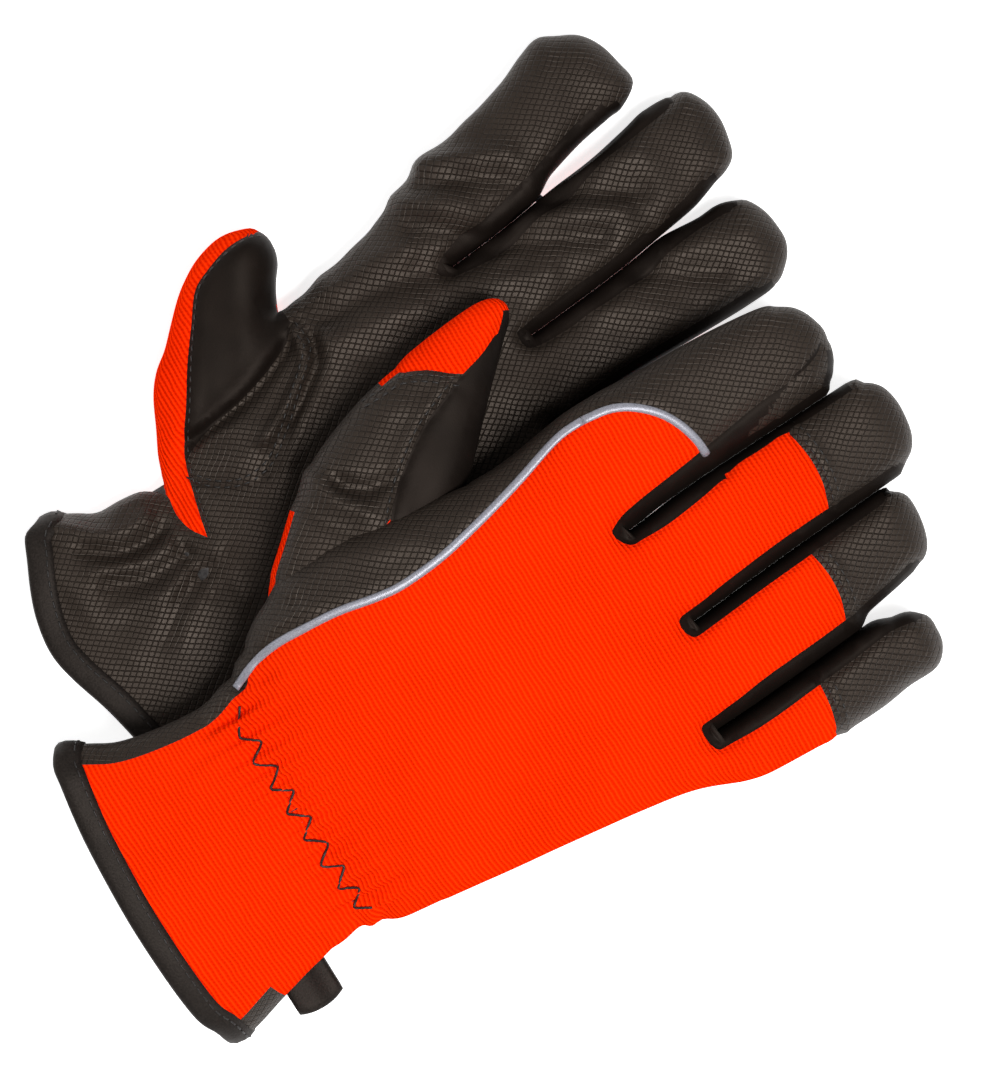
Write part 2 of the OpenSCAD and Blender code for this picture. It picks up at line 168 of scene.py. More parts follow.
LEFT_OUTLINE = pairs("""27,14.5 34,15.6 45,17.3 64,19.3 78,17.4 90,16.2 118,16.2 145,18 158,20 172,22.4 190,22.4
    210,22.4 219.5,24.6 225.2,29 227,33.6 225.3,38.8 219.5,42.6 210,44 190,45 174,46.2 167.6,47.2 166.7,48
    167.8,48.8 176,49.8 200,49.7 220,49.3 232,49.3 240.2,50 245.9,53.5 249.2,58.3 249.8,63.5 248.7,69.5 245.2,74.9
    239.2,77.8 232,77.6 220,77 205,75.7 190,74.5 180,73.8 174.9,73.6 174.1,74.4 175.1,75.2 184,76 200,77.4 215,79.7
    224.9,81.1 234.9,82.4 243.2,84 249,87.1 251.3,92.8 251.9,98.6 250.4,104.5 247.1,109.3 242,111.1 235,111.3
    225.1,109.4 205.2,105.5 193.1,103.5 180,102.2 171,101.4 166.6,101.6 165.8,102.4 166.8,103.2 173,103.6 182,104.4
    192.9,106.5 204.9,110.2 214.9,112.9 224.9,114.6 231.3,115.8 236.6,119.8 236,126.1 234.3,132.8 230.7,138.5
    225.3,142 219.6,144.4 213,142.4 205.1,139.3 197.8,137.1 189.9,135.2 180,133.3 169.8,131.1 159.8,127.4 150,123.2
    140,120.4 129.9,119.1 122,117.7 118.3,117.2 118.4,119.4 121.7,125.2 124.9,129.5 126.3,133.5 126,137.6
    124.4,141.2 120,143 115,143.7 110,143.1 105,141.5 100,138.5 95,134.7 90,130.3 85,125.6 79.7,121.3 74.8,114.7
    70,105.6 66.7,98.5 63.8,92.8 58.2,95.3 52.2,96.1 45.1,97 39.3,99.9 30.8,103.9""")
LEFT_CUFF = pairs("""30.8,103.9 26.4,101.3 23.4,95 19.6,87.1 16.6,78.8 15.1,69.5 16.6,60.2 20.1,48.4 22.5,36.4
    24.5,24.2 27,14.5""")
RIGHT_THUMB_OUTLINE = pairs("""76,43 90,40.5 110,41 130,44 139,49.5 145,55.2 152,62 160,69.8 166,75.2 170.8,79.8
    172.2,83.4 170.3,86.8 165.5,88.5 156,88.3 145,87 135,84.8 125,82.4 115,79.6 105,75.2 95,69 85,60.8 77.5,54
    73.6,48 76,43""")

# Seams on the upper side of the right glove
ORANGE_EDGE = drawn("""-9,40.9 4,40.5 10,39 20,35.8 30,34 40,31.5 44.5,29.8 50,32 55,34 62,36.8 70,38.4 80,38 90,37
    100,34.9 108,33.9 120,34.6 130,36.4 140,38.6 150,41.2 160,44.2 166,45.5 172,45.6""")
KNUCKLE_ARC = drawn("172,45.6 180,44.3 186,41 191,36 194,30.5 195.6,25 196,20.6")
RIGHT_SLOTS = [
    drawn("""246,32 236,27.2 228,25.2 215,24.4 205,23 196,21.8 190,21 180,19.9 172,18.9 166.5,17.6 163.6,14.4 166,11
        175,10 185,10.8 193,12 200,14.4 203,17"""),
    drawn("""246,-12.5 240,-11.8 230,-10.6 217,-10.2 195,-11.2 182,-12.2 175,-13.2 168.4,-14 165.6,-17 168.2,-20
        175,-19.8 190,-18.8 205,-18 218,-17.4 230,-16.6 238,-13"""),
    drawn("""237,-39 230,-37.8 218,-38 205,-39 185,-40 170,-41.2 160,-42.6 155.6,-46.2 158.6,-49.8 166,-50.8
        175,-50.8 190,-49.8 205,-48.8 216,-48.2 228,-50""")]
CAP_ARCS = {"middle": drawn("216.6,18 218.6,13 219.8,5 219.5,-2 218.2,-7.5 216,-14.5"),
            "ring": drawn("205.4,-12.5 207,-19 207.9,-26 207.4,-33 205.2,-40 203.6,-45"),
            "little": drawn("190.4,-43.5 190.1,-50 189.5,-56 188.2,-62 186.6,-68")}
# Seams on the upper side of the left glove, which is its palm
LEFT_THUMB_SEAM = drawn("""129,138 125.5,138.6 120,139.7 112,138.6 105,136.4 101,133.8 96,127.5 90,119.3 82,107.4
    75.5,98.8 72,90 69.8,82 68,74""", 1.5)
LEFT_THUMB_OUTER = drawn("68,74 65,78.7 63.8,84 64.2,89.5 64,94.5", 1.5)
LEFT_THUMB_CREASE = drawn("70.5,93 80,98 95,101 105,103.8 113,107.4 121,112.5", 1.5)
LEFT_SLOTS = [
    drawn("""222,118.4 208,115.2 196,111.4 185,109 172,107 165,105.6 161.6,102.4 165,99.2 175,98.4 190,99.8 205,102
        225,105.4 239,108 246,111"""),
    drawn("""246,84.6 235,79.8 225,79 205,77.8 190,77.4 178,77.2 172.4,76.6 170.2,74.2 172.4,71.4 178,70.4 195,70.4
        212,72 226,74 240,75.4 246,78"""),
    drawn("""240,50 225,49.4 205,50 185,50.6 172,50.8 165.4,50.4 162.6,48 165.4,45.4 175,43.6 190,42 210,41
        224,41.6""")]
# where a finger's panels are cut from the hand's, just past its root's fold
CUTS = {"right": {"index": 172, "middle": 173, "ring": 173, "little": 164},
        "left": {"index": 171.5, "middle": 178, "ring": 178, "little": 171}}
# lines half way between neighbouring fingers
BETWEEN = {
    "right": [drawn("150,13.8 167.4,13.8 190,15.6 255,16.8", 4),
              drawn("150,-17 169.5,-17 200,-14.9 255,-12.6", 4),
              drawn("150,-46.4 159.5,-46.4 203,-44.2 255,-41", 4)],
    "left": [drawn("150,102.4 165.8,102.4 193,105.1 225,112 255,117", 4),
             drawn("150,74.4 174.1,74.4 205,76.7 225,79.4 255,82", 4),
             drawn("150,48 166.7,48 210,46.8 255,46", 4)]}
FINGERS = ("index", "middle", "ring", "little")


# ---- the gloves' shapes

# finger axes: root, direction in degrees, half width
AXES = {
    "right": [(168.5, 33.6, 0.3, 15.4), (168.5, 0.6, 1.9, 15.0), (168.5, -30.6, 3.6, 13.4), (160, -56, 0.8, 10.1)],
    "left": [(171, 116.2, 11.3, 14.0), (175, 88.2, 7.6, 13.6), (175, 61.8, 2.2, 12.9), (167, 34.5, -1.5, 11.2)]}
LEFT_THUMB_R = 12.5
# neighbouring fingers nearly touch: slots narrower than twice the reach close by this share
SLOT_REACH = 2.6
SLOT_CLOSED = 0.995
SLOT_MARGIN = 0.9
THUMB_ROOT = {"right": [(55, 53.7), (140, 56.5)], "left": [(66.5, 95.6), (117.5, 118)]}
FORM = {
    "right": {"outline": RIGHT_OUTLINE, "cuff": RIGHT_CUFF, "lean": 0.24, "lean_from": -66,
              "mid": pairs("0,15 160,15 172,16 245,10.5"),
              "semi": pairs("-6,14.4 22,13.8 47,13.1 75,15.9 105,17 140,16.4 160,14.5 172,12.5 245,10")},
    "left": {"outline": LEFT_OUTLINE, "cuff": LEFT_CUFF, "lean": 0, "lean_from": 0,
             "mid": pairs("20,11 160,11 178,12 245,9.6"),
             "semi": pairs("20,12 42,11.3 64,9.9 90,12.6 118,13 145,12.6 165,11.8 178,10.2 245,9.5")},
    "thumb": {"outline": RIGHT_THUMB_OUTLINE, "cuff": None, "lean": 0, "lean_from": 0,
              "mid": pairs("76,40 94,40 168,35"), "semi": pairs("76,11 94,11 168,9.5")}}


def finger_of(glove, p):
    """0 to 3, from the index to the little finger, for points of a flat glove."""
    return sum((p[:, 1] < side_of(line, p[:, 0])).astype(int) for line in BETWEEN[glove])


def root_side(glove, p):
    """Distance of points past the line of the thumb's root, away from the hand."""
    a, b = np.array(THUMB_ROOT[glove], float)
    along = (b - a) / np.linalg.norm(b - a)
    return (p[:, 1] - a[1]) * along[0] - (p[:, 0] - a[0]) * along[1]


def radius(glove, p):
    """How far in from the outline the skin keeps rising."""
    if glove == "thumb":
        return np.full(len(p), 11.5)
    centres = np.array([y + (p[:, 0] - x) * math.tan(math.radians(turn)) for x, y, turn, r in AXES[glove]])
    widths = [r for x, y, turn, r in AXES[glove]]
    finger = np.array([np.interp(y, c[::-1], widths[::-1]) for y, c in zip(p[:, 1], centres.T)])
    result = HAND_R + (finger - HAND_R) * smoothstep(140, 174, p[:, 0])
    if glove == "left":
        thumb = smoothstep(-10, 6, root_side("left", p)) * smoothstep(140, 128, p[:, 0])
        result = result + (LEFT_THUMB_R - result) * thumb
    return result


def rise(share):
    """Height of the skin, as a share of its half thickness, at a distance in from the outline."""
    return (1 - (1 - np.clip(share, 0, 1)) ** ROUNDNESS) ** (1 / ROUNDNESS)


def outline_samples(glove):
    """Points of the outline, their outward normals, and the points of the flat sheets' edge inside them."""
    form = FORM[glove]
    p = curve(form["outline"], 0.25)
    for line in BETWEEN.get(glove, []):
        gap = p[:, 1] - side_of(line, p[:, 0])
        share = 1 - SLOT_CLOSED * smoothstep(SLOT_REACH, 0.6 * SLOT_REACH, np.abs(gap)) * (p[:, 0] > line[0, 0])
        p[:, 1] -= gap * (1 - share)
    t = np.gradient(p, axis=0)
    t = np.array([np.convolve(np.pad(t[:, k], 2, mode="edge"), np.ones(5) / 5, "valid") for k in (0, 1)]).T
    n = np.column_stack([t[:, 1], -t[:, 0]]) / np.linalg.norm(t, axis=1)[:, None]
    q = p - n * (radius(glove, p) * SIDE_SHARE)[:, None]
    steps = np.maximum(np.linalg.norm(np.diff(p, axis=0), axis=1), np.linalg.norm(np.diff(q, axis=0), axis=1))
    travelled = np.concatenate([[0], np.cumsum(steps)])
    count = int(travelled[-1] / POINT_GAP)
    keep = np.unique(np.searchsorted(travelled, np.linspace(0, travelled[-1], count)[:-1]).tolist() + [len(p) - 1])
    if form["cuff"] is None:
        keep = keep[:-1]
    return p[keep], n[keep], q[keep]


def settled(glove, line):
    """A seam beside a slot, kept just inside the flat sheets' edge except at its ends."""
    _, n, q = outline_samples(glove)
    result = line.copy()
    for i in range(4, len(line) - 4):
        away = ((q - line[i]) ** 2).sum(1)
        k = np.argmin(away)
        deep = (q[k] - line[i]) @ n[k]
        if deep < SLOT_MARGIN:
            result[i] = line[i] - n[k] * (SLOT_MARGIN - deep)
    return eased(result, 3)


def eased(values, rounds=2):
    for _ in range(rounds):
        if len(values) > 2:
            values = np.vstack([values[:1], (values[:-2] + 2 * values[1:-1] + values[2:]) / 4, values[-1:]])
    return values


def clipped(line, boundary):
    """The runs of a seam that lie inside the sheets' edge, ending on points of it where they leave it."""
    gap = line_distance(line, np.vstack([boundary, boundary[:1]]))
    inner = inside(line, boundary) & (gap > 0.7)
    runs, run = [], []
    for i, p in enumerate(line):
        if inner[i]:
            if not run and i:
                run.append(nearest(boundary, p))
            run.append(p)
        elif run:
            runs.append(run + [nearest(boundary, run[-1])])
            run = []
    if run:
        ends_near = gap[len(line) - 1] < 2.5
        runs.append(run + ([nearest(boundary, run[-1])] if ends_near else []))
    return [np.array(r) for r in runs if len(r) > 2]


def nearest(points, p):
    return points[np.argmin(((points - p) ** 2).sum(1))]


def flat_sheet(boundary, seams):
    """Points and triangles of the flat domain, with the seams among their edges, and the boundary's points."""
    lo, hi = boundary.min(0), boundary.max(0)
    rows = []
    for i, y in enumerate(np.arange(lo[1], hi[1], POINT_GAP * 0.866)):
        x = np.arange(lo[0] + (i % 2) * POINT_GAP / 2, hi[0], POINT_GAP)
        rows.append(np.column_stack([x, np.full(len(x), y)]))
    grid = np.vstack(rows)
    grid += rng.uniform(-GRID_JITTER, GRID_JITTER, grid.shape)
    loop = np.vstack([boundary, boundary[:1]])
    grid = grid[inside(grid, boundary)]
    grid = grid[line_distance(grid, loop) > EDGE_CLEAR]
    points, edges = [boundary], [(i, (i + 1) % len(boundary)) for i in range(len(boundary))]
    count = len(boundary)
    beside = []
    for seam in seams:
        points.append(seam)
        edges += [(count + i, count + i + 1) for i in range(len(seam) - 1)]
        count += len(seam)
        beside += [shifted(seam, step) for step in BESIDE_SEAM]
        grid = grid[line_distance(grid, seam) > SEAM_CLEAR]
    for line in beside:
        fit = inside(line, boundary) & (line_distance(line, loop) > 0.8)
        for seam in seams:
            fit &= line_distance(line, seam) > 0.7
        points.append(line[fit])
    points.append(grid)
    points = np.vstack(points)
    verts, _, faces, origin, _, _ = delaunay_2d_cdt([Vector(p) for p in points], edges, [], 0, 1e-4)
    verts = np.array([tuple(v) for v in verts])
    triangles = np.array(faces)
    centre = verts[triangles].mean(1)
    triangles = triangles[inside(centre, boundary)]
    a, b, c = verts[triangles[:, 0]], verts[triangles[:, 1]], verts[triangles[:, 2]]
    turn = (b - a)[:, 0] * (c - a)[:, 1] - (b - a)[:, 1] * (c - a)[:, 0]
    triangles[turn < 0] = triangles[turn < 0][:, ::-1]
    triangles = triangles[np.abs(turn) > 1e-6]
    place_of = {}
    for new, old in enumerate(origin):
        for index in old:
            place_of[index] = new
    edge_ids = np.array([place_of[i] for i in range(len(boundary))])
    return verts, triangles, edge_ids


def vertex_normals(points, triangles):
    a, b, c = (points[triangles[:, k]] for k in range(3))
    cross = np.cross(b - a, c - a)
    normals = np.zeros_like(points)
    for k in range(3):
        np.add.at(normals, triangles[:, k], cross)
    return normals / np.maximum(np.linalg.norm(normals, axis=1), 1e-12)[:, None]


def build_skin(glove, seams, relief):
    """The whole skin of a glove: points, triangles, the sheet that each triangle is on, flat places and normals.

    Sheets are 0 for the upper one, 1 and 2 for the upper and lower half of the rounded side, 3 for the lower one.
    """
    form = FORM[glove]
    outer, normal, inner = outline_samples(glove)
    cuff = np.empty((0, 2))
    if form["cuff"] is not None:
        cuff = curve([inner[-1], *form["cuff"][1:-1], inner[0]], POINT_GAP)[1:-1]
    boundary = np.vstack([inner, cuff])
    runs = [run for seam in seams for run in clipped(seam, boundary)]
    flat, triangles, edge_ids = flat_sheet(boundary, runs)
    side_ids = edge_ids[:len(outer)]
    distance = line_distance(flat, np.vstack([outer, outer[:1]]) if form["cuff"] is None else outer)
    r = radius(glove, flat)
    share = distance / r
    share[side_ids] = SIDE_SHARE
    mid, semi = at(flat[:, 0], form["mid"]), at(flat[:, 0], form["semi"])
    height = semi * rise(share)
    top = np.column_stack([flat, mid + height])
    bottom = np.column_stack([flat, np.maximum(mid - height, 0)])
    count = len(flat)
    rows, row_ids = [], [side_ids]
    m = len(outer)
    side_mid, side_semi = at(outer[:, 0], form["mid"]), at(outer[:, 0], form["semi"])
    side_r = radius(glove, outer)
    for k, angle in enumerate(SIDE_ANGLES[1:-1]):
        c, s = math.cos(math.radians(angle)), math.sin(math.radians(angle))
        xy = outer - normal * (side_r * (1 - c ** (2 / ROUNDNESS)))[:, None]
        z = side_mid + side_semi * math.copysign(abs(s) ** (2 / ROUNDNESS), s)
        rows.append(np.column_stack([xy, np.maximum(z, 0)]))
        row_ids.append(2 * count + k * m + np.arange(m))
    row_ids.append(side_ids + count)
    points = np.vstack([top, bottom] + rows)
    strips, strip_sheet, strip_sample = [], [], []
    pairs = np.arange(m) if form["cuff"] is None else np.arange(m - 1)
    following = (pairs + 1) % m
    for k in range(len(row_ids) - 1):
        a, b = row_ids[k], row_ids[k + 1]
        strips += [np.column_stack([a[pairs], b[pairs], b[following]]),
                   np.column_stack([a[pairs], b[following], a[following]])]
        strip_sheet += [1 if k < 3 else 2] * (2 * len(pairs))
        strip_sample += [pairs, pairs]
    faces = np.vstack([triangles, triangles[:, ::-1] + count] + strips)
    sheet = np.concatenate([np.zeros(len(triangles), int), np.full(len(triangles), 3), strip_sheet]).astype(int)
    half_in = 0.5 * (outer[:, :1] > OUTER_LABELS_TO) if glove == "right" else 0.5
    column = outer + (inner - outer) * half_in
    centre = np.vstack([flat[triangles].mean(1), flat[triangles].mean(1)]
                       + [(column[s] + column[(s + 1) % m]) / 2 for s in strip_sample])
    side_share = [(np.array(SIDE_ANGLES[1:-1]) + SIDE_ANGLES[0])[k] / (2 * SIDE_ANGLES[0]) for k in range(5)]
    lift_top, lift_bottom = relief(flat, 0), relief(flat, 3)
    lift = np.concatenate([lift_top, lift_bottom] + [lift_top[side_ids] * w + lift_bottom[side_ids] * (1 - w)
                                                     for w in side_share])
    lift[row_ids[3]] -= SIDE_GROOVE
    if glove != "thumb":
        touching = faces_a_finger(glove, outer)
        for ids in row_ids[1:-1]:
            lift[ids[touching]] = 0
    points = points + vertex_normals(points, faces) * lift[:, None]
    points[:, 2] = np.maximum(points[:, 2], 0) + form["lean"] * (points[:, 1] - form["lean_from"])
    uv = side_uv(points, flat, outer, normal, side_ids, row_ids, count)
    return {"points": points, "faces": faces, "sheet": sheet, "centre": centre, "uv": uv,
            "normals": vertex_normals(points, faces), "count": count, "cuff_ids": edge_ids[len(outer):],
            "rows": row_ids}


def side_uv(points, flat, outer, normal, side_ids, row_ids, count):
    """Flat places in millimetres, carried on round the side from above, and from below."""
    result = np.zeros((2, len(points), 2))
    result[:, :count] = flat
    result[:, count:2 * count] = flat
    for kind, order in enumerate((row_ids, row_ids[::-1])):
        run = np.zeros(len(side_ids))
        for before, row in zip(order, order[1:]):
            run = run + np.linalg.norm(points[row] - points[before], axis=1)
            if row is not order[-1]:
                result[kind, row] = flat[side_ids] + normal * run[:, None]
    return result


def thick_piece(skin, chosen):
    """The chosen triangles of a skin as a closed sheet: points, faces, normals and flat places of each corner."""
    triangles = skin["faces"][chosen]
    used, local = np.unique(triangles, return_inverse=True)
    local = local.reshape(-1, 3)
    n = len(used)
    edges = np.vstack([local[:, [0, 1]], local[:, [1, 2]], local[:, [2, 0]]])
    owner = np.tile(np.arange(len(local)), 3)
    code, back = edges[:, 0] * n + edges[:, 1], edges[:, 1] * n + edges[:, 0]
    rim_mask = ~np.isin(code, back)
    a, b, owner = edges[rim_mask, 0], edges[rim_mask, 1], owner[rim_mask]
    rim = np.vstack([np.column_stack([b, a, a + n]), np.column_stack([b, a + n, b + n])])
    faces = np.vstack([local, local[:, ::-1] + n, rim])
    outer, normals = skin["points"][used], skin["normals"][used]
    below = np.isin(skin["sheet"][chosen], (2, 3)).astype(int)
    kind = np.concatenate([below, below, below[owner], below[owner]])
    corner = used[faces % n]
    uv = skin["uv"][kind[:, None], corner]
    return (np.vstack([outer, outer - normals * CLOTH_T]), faces, np.vstack([normals, -normals]), uv.reshape(-1, 2))


def make(name, points, faces, look, normals=None, uv=None):
    """An object in the row frame, from points in millimetres."""
    mesh = bpy.data.meshes.new(name)
    mesh.from_pydata(place(points).tolist(), [], faces if isinstance(faces, list) else faces.tolist())
    mesh.polygons.foreach_set("use_smooth", [True] * len(mesh.polygons))
    if uv is not None:
        mesh.uv_layers.new(name="flat").data.foreach_set("uv", np.asarray(uv, np.float32).ravel())
    if normals is not None:
        mesh.normals_split_custom_set_from_vertices(normals.tolist())
    mesh.materials.append(look)
    obj = bpy.data.objects.new(name, mesh)
    bpy.context.scene.collection.objects.link(obj)
    return obj


# ---- seams and panels

LEFT_EDGE = drawn("14,88 30,87 64,82 90,88 118,97 145,108 158,115 171.5,122", 1.5)
LEFT_ARC = drawn("171.5,122 182,121 190,117 196,109 198,103", 1.5)
LEFT_CAPS = {"middle": drawn("219,76 220,92 217,112", 1.5),
             "ring": drawn("217,46 219,62 218,79", 1.5),
             "little": drawn("189,21 191,33 190,47", 1.5)}
LEFT_ROOT = curve(THUMB_ROOT["left"], 2)
LEFT_PATCH = drawn("84,106 94,108 105,113 112,119 110,129 103,132 93,124 86,114 84,106", 1.5)
LEFT_SADDLE = drawn("70.5,91 76,84 85,79.5 95,80.5 103,86 110,92 118,99 122,104 121.5,112.5", 1.5)
RIGHT_SADDLE = drawn("62,30 80,26 100,28 120,34 138,44", 1.5)
THUMB_SEAM = drawn("100,40 110,46 117,53 122,58 128,62.5 135,67 145,71 152,73.5 160,75.6 168,79.4 173,84")
THUMB_ARC = drawn("124,83.2 131,83 135,83.5 140,82 145,79 149,75.5 152,73.5")
THUMB_SLIVER = drawn("74,46 80,54 87,60.4 93,66.4 96,72")
# where the seams beside a finger run off its side, for its thumb side and its little finger side
SEAM_ENDS = {"right": [(0, 240), (240, 241), (233, 231), (222, 0)],
             "left": [(0, 227), (243, 242), (243, 240), (221, 0)]}
# the palm's edge shows below the right cuff's corner, up to its loop: its greatest x and y
PALM_SHOWS = (21, -45.8)
SEAM_DEPTH = 0.5
SEAM_HALF = 0.9
SIDE_GROOVE = 0.3


def folds(text):
    """Folds written one a line: height, half width and points. The height of a sunken one is negative."""
    rows = [row.split(maxsplit=2) for row in text.strip().splitlines() if "#" not in row]
    return [(pairs(line), float(height), float(half)) for height, half, line in rows]


LEFT_FOLDS = folds("""
    # the thumb's base
    2.0 1.9  118.4,109 117.6,101.4 112.3,96.6 103.4,91.7 96,88
    -2.5 2.1  116,108 111.4,105.3 101.2,101.2 90.9,99.5 78,99
    -1.2 1.4  121.5,106 119.1,98.5 111,92.4 100.3,86.7 90.9,81
    1.0 2.0  126,105 124,98 117.5,92 107,86.6 97,80
    1.0 4  84,99 92,94 99,88.5
    0.7 3  75,90 82,87 90,87
    # across the index finger's base
    -1.3 3.2  127,108.5 143,107.5 156,105
    1.1 3.8  128,101 141,99.4 152,96.6
    1.0 3.4  134,114.5 147,114.5 158,112.5
    -0.7 3.2  160,122 166,117 170,110
    0.6 4  172,128 176,119 178,109
    -0.5 4  186,130 189,120 191,110
    -0.8 3.6  133,92 146,90 158,86
    0.6 3.6  150,82 162,80 172,78
    0.6 5  126,74 140,70 154,70
    -0.4 5  176,96 184,90 186,80
    # across the fingers
    1.3 3  173,131 184,126 195,120.5
    -1.4 3  170,126 182,120 193,112.5
    1.0 3  163,124 170,119 177,114
    -1.2 3  161,116.5 168,111 175,105
    1.1 3.2  208,107 216,104 226,101
    -1.4 3  200,104 211,98 222,92
    1.2 3  187,103 200,97 214,89.5
    -1.4 3  178,100.5 192,94 205,86.5
    1.0 3.4  159,97.5 173,92 187,86
    1.0 3.4  218,73 228,70.5 240,67
    -1.3 3.2  208,73 218,67 228,61
    0.9 3.4  190,72 202,65 212,57
    # drawn together at the wrist
    1.4 2.1  33,99 41.7,91 50,87.6 56.5,88
    -1.5 2.0  36.8,89.4 45.5,83 54,82.2 59,83
    1.3 2.2  36,82.5 49,77.6 58,77.6
    -1.1 2.0  37.5,77.2 48.5,72.6 60,73.4
    0.9 2.2  36,70 49,67 62,69
    -1.2 2.4  43.3,54.9 50.5,60.9 59.9,66.6 68,66.5
    0.8 2.2  46,52 54,58.6 62,62
    -1.0 2.2  61,60 61.5,68 60.5,76
    0.7 2.0  67.5,54 68,62 67.5,69
    0.5 3  28,88 30,70 34,52
""")
RIGHT_FOLDS = folds("""
    -0.8 2.2  56,42 66,46 80,45.5
    0.6 2.6  60,37.5 72,41.5 84,41
    -1.0 1.4  38,-31 50,-32.5 66,-34
    0.9 1.5  38,-34.5 50,-35.6 68,-38.5
    -1.1 1.5  36,-38 50,-38.8 70,-42.5
    0.9 1.5  38,-41 52,-42 66,-46
    -0.7 1.4  40,27 52,29 64,33
    0.6 1.6  42,23 54,25.5 68,29
    0.7 3  96,50 108,45 118,41
    0.5 5  170,-38 160,-31 148,-26
    0.4 6  166,4 150,2 136,5
    0.4 5  172,27 178,31 184,40
    0.5 4  4,20 20,16 38,19
    -0.5 4  4,-12 20,-15 38,-12
    0.45 5  58,8 76,10 96,6
    -0.45 5  58,-14 74,-18 92,-16
""")
THUMB_FOLDS = folds("""
    -2.6 2.4  108,66.5 113,61 120,59.5
    0.7 1.1  118,57.5 122,61 129,65.6 136,69.6 146,73.6
    1.4 2.2  103,71 104.6,63 110.5,55
    -0.8 2.2  97,68 99,60 104,53
    0.5 3  130,76 138,72 144,73
    -0.5 2  150,69.5 158,73 166,76
""")


def cut_line(glove, k):
    """The line across a finger's root where its panels are cut from the hand's."""
    x = CUTS[glove][FINGERS[k]]
    edges = [150, *(float(side_of(line, x)) for line in BETWEEN[glove]), -75]
    return np.column_stack([np.full(40, float(x)), np.linspace(edges[k] - 0.2, edges[k + 1] + 0.2, 40)])


SLOTS_SEEN = {"right": [settled("right", line) for line in RIGHT_SLOTS],
              "left": [settled("left", line) for line in LEFT_SLOTS]}
UPPER = {"right": [ORANGE_EDGE, KNUCKLE_ARC, *CAP_ARCS.values(), *SLOTS_SEEN["right"]],
         "left": [LEFT_THUMB_SEAM, LEFT_THUMB_OUTER, LEFT_THUMB_CREASE, LEFT_SADDLE, *SLOTS_SEEN["left"]],
         "thumb": [THUMB_SEAM, THUMB_ARC, THUMB_SLIVER]}
LOWER = {"right": [RIGHT_SADDLE],
         "left": [LEFT_EDGE, LEFT_ARC, LEFT_ROOT, LEFT_PATCH, *LEFT_CAPS.values()],
         "thumb": []}


def ridges(p, lines):
    """Raised and sunken folds: lines with a height and a half width."""
    total = np.zeros(len(p))
    for line, height, half in lines:
        total += height * np.exp(-(line_distance(p, curve(line, 3)) / half) ** 2)
    return total


def grooves(p, seams):
    """Seams pull the cloth down, and it swells a little beside them."""
    gap = np.min([line_distance(p, line) for line in seams], axis=0) if seams else np.full(len(p), 99.0)
    return -SEAM_DEPTH * np.exp(-(gap / SEAM_HALF) ** 2) + 0.28 * np.exp(-((gap - 3) / 1.8) ** 2)


def ripple(p, height, short, long, count=14):
    """Gentle unevenness: waves of several lengths and directions."""
    total = np.zeros(len(p))
    for _ in range(count):
        turn, phase = rng.uniform(0, math.tau, 2)
        length = rng.uniform(short, long)
        total += np.cos((p @ [math.cos(turn), math.sin(turn)]) * math.tau / length + phase)
    return height * total / math.sqrt(count)


def gathers(p, x, half, pitch, height):
    """Cloth drawn together by a line of elastic across it, at x."""
    wave = np.cos(math.tau * (p[:, 1] + 1.2 * np.sin(p[:, 1] / 7)) / pitch + 0.05 * (p[:, 0] - x))
    return height * wave * np.exp(-((p[:, 0] - x) / half) ** 2) - 0.5 * height * np.exp(-((p[:, 0] - x) / 3) ** 2)


def right_relief(p, sheet):
    if sheet == 3:
        return grooves(p, LOWER["right"])
    hems = [(shifted(line, 2.4), 0.5, 1.1) for line in CAP_ARCS.values()]
    return (grooves(p, UPPER["right"]) + ripple(p, 0.16, 14, 40) + gathers(p, 51, 11, 5.0, 1.5)
            + ridges(p, RIGHT_FOLDS + hems))


def left_relief(p, sheet):
    if sheet == 3:
        return grooves(p, LOWER["left"])
    seen = smoothstep(48, 60, p[:, 1])
    return grooves(p, UPPER["left"]) + seen * (ripple(p, 0.36, 11, 34) + 1.2 * ridges(p, LEFT_FOLDS))


def thumb_relief(p, sheet):
    if sheet == 3:
        return np.zeros(len(p))
    patch = in_thumb_patch(p) * 0.35
    return grooves(p, UPPER["thumb"]) + ripple(p, 0.12, 12, 30) + ridges(p, THUMB_FOLDS) + patch


def in_thumb_patch(p):
    arc = np.array([*THUMB_ARC, (140, 60), (60, 30), (60, 60), (96, 72), (110, 90), (124, 90)])
    return inside(p, arc) & (p[:, 1] > side_of(THUMB_SEAM, p[:, 0])) & (
        p[:, 1] < side_of(THUMB_SLIVER, p[:, 0]) + (p[:, 0] > 96) * 50)


def faces_a_finger(glove, p):
    """Which points of the outline are on a side that faces another finger."""
    f = finger_of(glove, p)
    result = np.zeros(len(p), bool)
    for k, (x, y, turn, _) in enumerate(AXES[glove]):
        above = p[:, 1] > y + (p[:, 0] - x) * math.tan(math.radians(turn))
        upper_end, lower_end = SEAM_ENDS[glove][k]
        result |= (f == k) & (p[:, 0] > FINGERS_FROM) & np.where(above, p[:, 0] < upper_end, p[:, 0] < lower_end)
    return result


